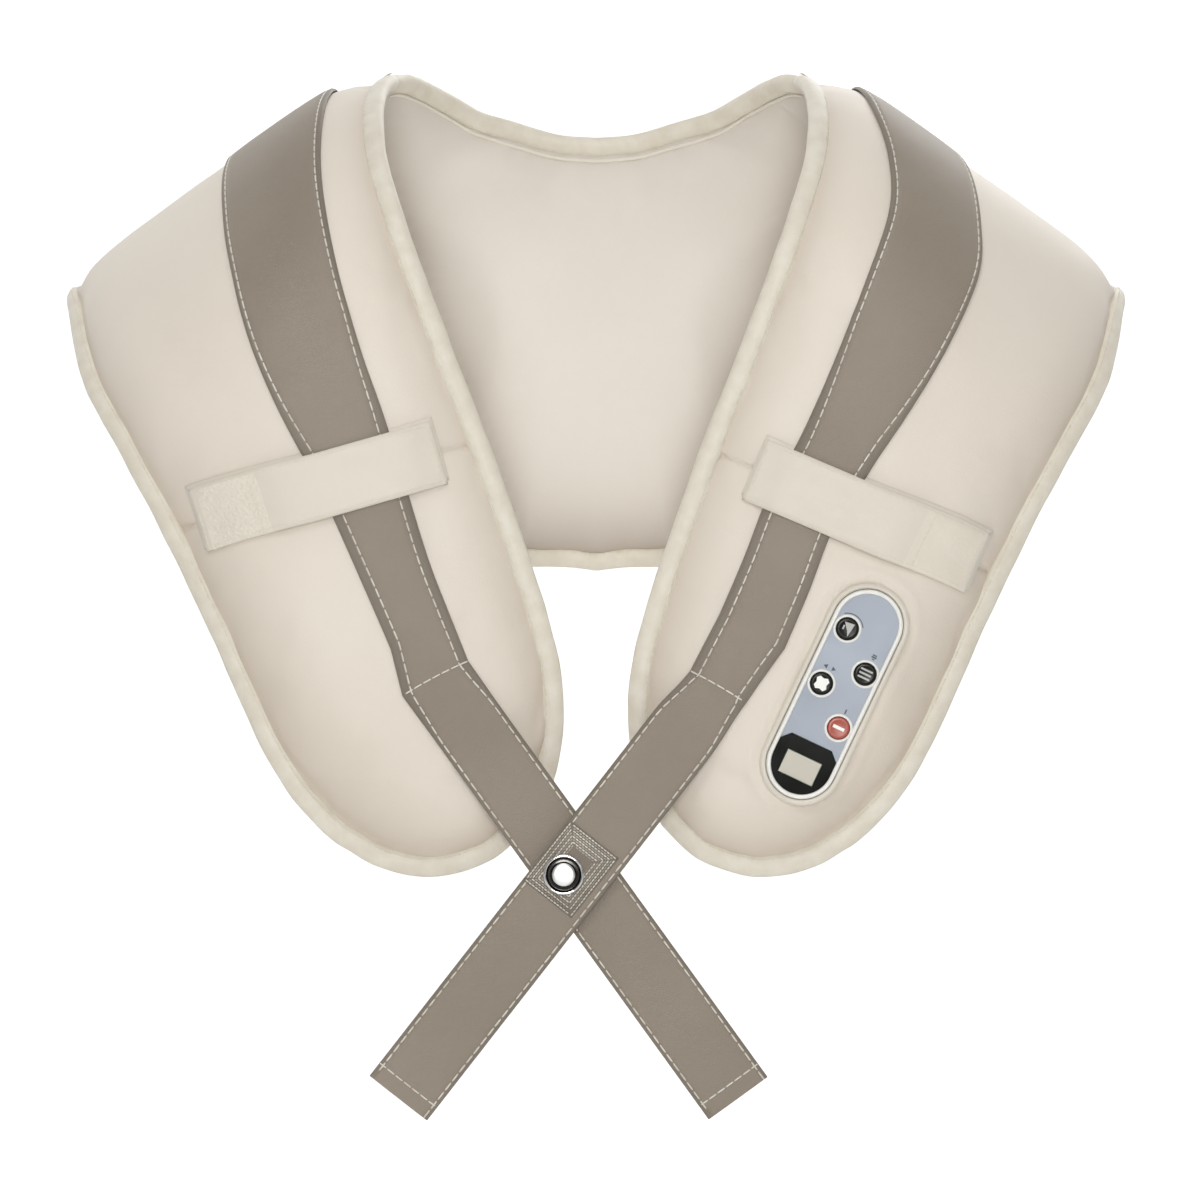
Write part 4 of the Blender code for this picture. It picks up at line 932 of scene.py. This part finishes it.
def make_patch():
    """Square patch covered in dense box stitching."""
    place = facing_frame(CROSSING, Vector((0.62, 0, 0.785)).normalized())
    front, up = -OVER_Y + 1.9 * MM, place.to_3x3() @ Vector((0, 0, 1))
    half, half_long, aside, shift = 13.1 * MM, 16.2 * MM, 1.0 * MM, 3.6 * MM

    def at(x, y, height):
        return place @ Vector((x + aside, y + shift, front + height))

    grid = [[(u, v) for u in np.linspace(-1, 1, 14)] for v in np.linspace(-1, 1, 14)]
    near = [[at(u * half, v * half_long, 0) for u, v in row] for row in grid]
    far = [[at(u * half, v * half_long, (0.35 + 0.65 * min(1 - abs(u) ** 8, 1 - abs(v) ** 8)) * MM)
            for u, v in row] for row in grid]
    build = Build()
    ribbon(build, near, far)
    for index in range(PATCH_ROWS):
        inset = (0.9 + 0.95 * index) * MM
        r, long = half - inset, half_long - inset
        corners = [(-r, -long), (r, -long), (r, long), (-r, long), (-r, -long)]
        for (ax, ay), (bx, by) in zip(corners, corners[1:]):
            row = [at(ax + (bx - ax) * t, ay + (by - ay) * t, 1.05 * MM) for t in np.linspace(0, 1, 8)]
            stitch(build, row, [up] * 8, 2 if index % 2 else 1, 1.3, 0.35, 0.36)
    item = build.piece("crossing_patch", WEB_EDGE, LIGHT_THREAD, TAUPE_THREAD)
    placed(item, "right_lower_strap", "strap", "strap_patch")
    make_snap(place, front + 1.2 * MM)


def make_snap(place, height):
    """Snap cap: a satin centre, near-white as a painted highlight, and a chrome rim round a dark channel,
    near-black as a painted dark reflection.
    """
    foot = (-OVER_Y - height) / MM
    dish = [(0, 2.6), (2.4, 2.55), (4.2, 2.3), (5.0, 1.7), (5.2, 0.4), (6.9, 0.3), (7.4, 1.9), (8.0, 2.1),
            (8.5, 1.7), (8.7, 0.9), (8.6, -0.1), (2.1, -0.1), (2.1, foot), (0, foot)]
    verts, faces = lathe([(r, h + height) for r, h in rounded(dish, 0.35)], place, 96)
    points = np.array([v[:] for v in verts]) - place.translation
    # centre: near-white satin metal as painted highlight; channel: near-black chrome as painted dark
    # reflection; rim: chrome
    slots = []
    for face in faces:
        x, y, z = points[list(face)].mean(0)
        radius = math.hypot(x, z) if -y > height else 1.0
        slots.append(2 if radius < 4.9 * MM else 1 if radius < 7.6 * MM else 0)
    build = Build()
    build.add(verts, faces, slots)
    button = build.piece("snap_button", CHROME, DARK_CHROME_PAINTED_REFLECTION, SATIN_PAINTED_HIGHLIGHT, crease=40)
    placed(button, "right_lower_strap", "chrome", "snap_cap")


# ---- keepers

def keeper_grid(side, cover, start_at, end_at, lift, up_shift=0.0, rows=60, columns=17):
    """Points and normals over a keeper: rows along it, columns across it."""
    origin, along, up, length = keeper_line(side)
    up = up if up[1] > 0 else -up
    distances = np.linspace(start_at, length + end_at, rows)
    aside = np.linspace(-1, 1, columns) * KEEPER_HALF + up_shift
    flat = origin + along * distances[:, None, None] + up * aside[:, None]
    x, z = flat[..., 0], flat[..., 1]
    height, base, normal = heights(cover, x, run_at(x, z), 4, 5)
    height = height + np.array([lift(distance, length) for distance in distances])[:, None]
    return base + height[..., None] * normal, normal


def flap_lift(distance, length):
    """Height of the flap's wearer side over the cover: up over the strap, down again at the free end."""
    rise = float(smooth((distance - 1 * MM) / (13 * MM)))
    fall = float(smooth((length - 20 * MM - distance) / (18 * MM)))
    return 1.25 * MM + 1.75 * MM * min(rise, fall)


def make_keeper(side, cover):
    seed, relief, tab = (3.1, 0.42 * MM, HOOK) if side == "left" else (8.4, 0.1 * MM, LOOP)
    length = keeper_line(side)[3]
    flap = keeper_grid(side, cover, 0, 0, flap_lift)
    rows, columns = flap[0].shape[:2]
    patch = rows * (length - TAB) / length

    def rough(i, j):
        crease = 0.16 * MM * wobble(i / 7, j / 5, seed)
        if i > patch + 1 and 1 < j < columns - 2:
            return crease + relief * abs(wobble(i * 1.9, j * 2.1, seed)) + 0.1 * MM
        return crease

    looks = [BAND, CREAM_THREAD, tab]
    item = sewn_slab(f"{side}_keeper_band", flap, FLAP, (1, int(patch), rows - 2), looks, rough)
    paint_tab(item, side)
    placed(item, f"{side}_keeper_flap", "cover", f"{side}_keeper_flap")
    base = keeper_grid(side, cover, -1 * MM, 1.5 * MM, lambda distance, length: 0.25 * MM, 1.7 * MM)
    strip = sewn_slab(f"{side}_keeper_strip", base, 0.8 * MM, (), looks[:2], lambda i, j: 0)
    placed(strip, "shawl", "cover", f"{side}_keeper_base")


def sewn_slab(name, grid, thick, across, looks, rough):
    """Cloth strip with soft edges, sewn along both sides and across it at some rows. rough adds height."""
    points, normals = grid
    rows, columns = points.shape[:2]
    near, far = np.array(points), np.array(points)
    for i, j in np.ndindex(rows, columns):
        border = min(i / 1.5, (rows - 1 - i) / 1.5, j / 1.2, (columns - 1 - j) / 1.2, 1)
        full = 0.5 + 0.5 * math.sqrt(border)
        far[i, j] += normals[i, j] * (thick * full + rough(i, j))
        near[i, j] += normals[i, j] * thick * 0.5 * (1 - full)
    build = Build()
    ribbon(build, near, far)
    for j in (1, columns - 2):
        stitch(build, far[1:-1, j], normals[1:-1, j], 1, 2.4, 0.8, 0.15)
    for i in across:
        stitch(build, far[i, 1:-1], normals[i, 1:-1], 1, 2.2, 0.7, 0.2)
    return build.piece(name, *looks)


def paint_tab(item, side):
    """The hook tape at the free end takes its own material."""
    origin, along, up, length = keeper_line(side)
    for face in item.data.polygons:
        offset = np.array((face.center.x, face.center.z)) - origin
        inside = abs(offset @ up) < 12.8 * MM and length - TAB < offset @ along < length - 0.6 * MM
        if inside and not face.material_index:
            face.material_index = 2


# ---- control pod

def make_pod():
    place = pod_frame()
    build = Build()
    outer = [(15.35, -3.0), (15.35, 1.5), (15.9, 2.15), (16.7, 2.2), (17.5, 1.75), (18.0, 0.9), (18.0, 0.0),
             (17.2, -0.7), (16.6, -3.0)]
    inner = [(13.15, 2.35), (13.25, 3.1), (13.8, 3.55), (14.4, 3.5), (14.95, 2.9), (15.15, 1.6),
             (15.15, -3.1), (13.75, -3.1), (13.75, 2.35)]
    build.add(*racetrack(POD_HALF, rounded(outer, 0.3), place), 1)
    build.add(*racetrack(POD_HALF, rounded(inner, 0.25), place), 0)
    bezel = build.piece("pod_bezel", WHITE, CREAM, crease=48)
    placed(bezel, "shawl", "white_plastic", "control_bezel")
    ring = [(4.95, 2.0), (4.95, 2.45), (5.3, 2.72), (5.75, 2.62), (6.05, 2.25), (6.05, 2.0)]
    loop = rounded(ring + ring[:1], 0.12)[1:-1]
    rings = Build()
    for name in BUTTONS:
        rings.add(*racetrack(0.0, loop, button_place(place, name), 36))
    placed(rings.piece("button_rings", WHITE, crease=60), "shawl", "white_plastic")
    make_marks(place)
    for name in BUTTONS:
        make_button(name, button_place(place, name))


def button_place(place, name):
    up, across = BUTTONS[name]
    return place @ Matrix.Translation((across, up, 0))


def plate_of(build, outline, low, high, place, slot=0):
    """Thin raised mark with a convex or star-shaped outline. All sizes are in mm."""
    verts = [place @ (Vector((x, y, h)) * MM) for h in (low, high) for x, y in outline]
    build.add(verts, wrap(2, len(outline), capped=True), slot)


def bar(x, y, width, height):
    x0, x1, y0, y1 = x - width / 2, x + width / 2, y - height / 2, y + height / 2
    return [(x0, y0), (x1, y0), (x1, y1), (x0, y1)]


def wedge(x, y, size, angle):
    """Small triangle pointing at an angle in degrees."""
    turns = [math.radians(angle + k * 120) for k in range(3)]
    return [(x + size * math.cos(a), y + size * math.sin(a)) for a in turns]


def make_marks(place):
    """Plain printed marks beside the buttons."""
    arc = [(radius * math.cos(a), radius * math.sin(a)) for radius, turns in
           ((6.5, np.linspace(0.5, 2.2, 12)), (6.9, np.linspace(2.2, 0.5, 12))) for a in turns]
    marks = {"strength_button": [arc],
             "mode_button": [bar(0.4, 8.9, 1.9, 0.6), bar(0.4, 8.0, 2.3, 0.7), bar(0.4, 7.1, 1.2, 0.5)],
             "direction_button": [wedge(-1.4, 7.6, 1.15, 180), wedge(2.0, 7.6, 1.15, 0)],
             "power_button": [bar(-0.2, 7.6, 0.6, 2.0)]}
    build = Build()
    for name, outlines in marks.items():
        for outline in outlines:
            plate_of(build, outline, 2.1, 2.26, button_place(place, name))
    placed(build.piece("panel_marks", INK, flat=True), "shawl", "black_plastic")


def make_button(name, place):
    top, side = 3.05, BUTTON_R / MM - 0.05
    dish = [(0, top - 0.25), (2.0, top - 0.2), (3.6, top + 0.02), (4.35, top - 0.05), (side, top - 0.5),
            (side, 0.5), (5.3, 0.4), (5.3, -0.5), (1.5, -0.5), (1.5, -1.9), (0, -1.9)]
    build = Build()
    build.add(*lathe(rounded(dish, 0.18), place))
    icons = {
        "strength_button": [[(-2.3, 2.4), (2.2, 2.9), (1.3, -3.1), (0.2, -0.8)], bar(-1.8, 0.0, 0.7, 1.9)],
        "mode_button": [bar(0, y, 5.4, 0.8) for y in (1.75, 0, -1.75)],
        "direction_button": [[(3.35 * math.cos(a) * k, 3.35 * math.sin(a) * k) for a, k in
                              ((math.radians(30 * n), 1.0 if n % 3 else 0.7) for n in range(12))]],
        "power_button": [bar(0, 0.1, 5.2, 1.4)],
    }
    for outline in icons[name]:
        plate_of(build, outline, top - 0.6, top + 0.03, place, 1)
    red = name == "power_button"
    icon = ICON_GREY if name in ("strength_button", "mode_button") else WHITE
    cap = build.piece(f"{name}_cap", RED if red else BLACK, icon, crease=35)
    placed(cap, name, "red_plastic" if red else "black_plastic", name)


def make_inlet():
    turn = Matrix(((-1, 0, 0), (0, 0, 1), (0, 1, 0))).to_4x4()
    profile = [(0, -3.0), (1.0, -3.4), (1.0, -9.8), (3.2, -9.8), (3.2, -0.1), (3.6, 0.0), (7.4, 0.0),
               (8.0, -0.5), (8.0, -1.6), (5.4, -1.6), (5.4, -13.0), (0, -13.0)]
    build = Build()
    build.add(*lathe(rounded(profile, 0.15), Matrix.Translation(INLET) @ turn))
    item = build.piece("power_inlet", BLACK, crease=35)
    placed(item, "shawl", "black_plastic", "dc_inlet")


# ---- inner parts

def make_foam_cores():
    """Foam blocks a little smaller than the solid pads, so that they lie clear of the sewn-in seams."""
    for name, pad in list(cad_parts.items()):
        if not name.endswith("_pad"):
            continue
        data = pad.data.copy()
        data.transform(pad.matrix_world)
        tree = tree_of(data)
        moves = []
        for vertex in data.vertices:
            hit = tree.ray_cast(vertex.co - vertex.normal * 0.05 * MM, -vertex.normal)
            moves.append(vertex.normal * min(3.2 * MM, 0.3 * hit[3] if hit[0] else 0.0))
        for vertex, move in zip(data.vertices, moves):
            vertex.co -= move
        data.materials.clear()
        data.materials.append(FOAM)
        item = linked(name.replace("_pad", "_foam_core"), data)
        placed(item, "shawl", "foam", name)


def dress_nodes():
    """Materials for the CAD parts that stay."""
    looks = {"pad": FOAM, "gearbox": SHELL, "back_case": SHELL, "bush": BRASS, "worm_wheel": NYLON,
             "worm": STEEL, "motor": STEEL, "shaft": STEEL, "arm": NYLON, "node": NYLON, "snap": CHROME,
             "lead": RUBBER, "board": BOARD, "switch": BLACK, "faceplate": BLUE, "window": GLOSS,
             "screen": LCD}
    for name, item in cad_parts.items():
        fitting = [look for word, look in looks.items() if word in name]
        for slot in item.material_slots if fitting else ():
            slot.material = fitting[0]


# ---- stage

def make_stage():
    """Pale paper floor that curves up into a wall behind; the paper glows, faintly on the floor and brighter
    up the wall.
    """
    floor_z, wall_y, wall_z, bend, half = -1.5, 4.4, 12.0, 1.2, 30.0
    profile = [(-half, floor_z), (wall_y - bend, floor_z)]
    profile += [(wall_y - bend + bend * math.sin(a), floor_z + bend - bend * math.cos(a))
                for a in np.linspace(0, math.pi / 2, 24)[1:]]
    profile += [(wall_y, wall_z)]
    verts = [(x, y, z) for y, z in profile for x in (-half, half)]
    faces = [(2 * k, 2 * k + 1, 2 * k + 3, 2 * k + 2) for k in range(len(profile) - 1)]
    look = Look("studio_paper", 0.9, Base_Color=(0.90, 0.90, 0.895, 1), Emission_Color=(1, 1, 0.99, 1))
    parts = look.node("SeparateXYZ", Vector=look.place)
    glow = look.node("MapRange", Value=parts.outputs["Z"], From_Min=floor_z, From_Max=floor_z + 0.35,
                     To_Min=0.12, To_Max=0.74)
    look.links.new(glow.outputs["Result"], look.shader.inputs["Emission Strength"])
    piece("studio_floor", verts, faces, [look.made])


def make_studio():
    scene = bpy.context.scene
    camera = bpy.data.cameras.new("camera")
    camera.sensor_width = 36
    camera.lens = 36 * CAMERA_AT[1] / -VIEW_WIDTH
    scene.camera = linked("camera", camera)
    scene.camera.location = CAMERA_AT
    scene.camera.rotation_euler = (math.pi / 2, 0, 0)
    scene.world = bpy.data.worlds.new("studio")
    scene.world.use_nodes = True
    sky = scene.world.node_tree.nodes["Background"].inputs
    sky["Color"].default_value = (1, 0.995, 0.985, 1)
    sky["Strength"].default_value = 0.26
    scene.view_settings.view_transform = "Standard"
    scene.view_settings.look = "None"
    for name, at, size, power in LIGHTS:
        data = bpy.data.lights.new(name, "AREA")
        data.shape, data.size, data.energy = "DISK", size, power
        lamp = linked(name, data)
        lamp.location = at
        lamp.rotation_euler = (LIGHTS_AIM - Vector(at)).to_track_quat("-Z", "Y").to_euler()


def main():
    make_studio()
    make_stage()
    cover = tree_of(make_cover().data)
    make_foam_cores()
    make_tapes(cover)
    make_strap("left", UNDER_Y, cover)
    make_strap("right", OVER_Y, cover)
    make_patch()
    make_keeper("left", cover)
    make_keeper("right", cover)
    make_pod()
    make_inlet()
    dress_nodes()


main()
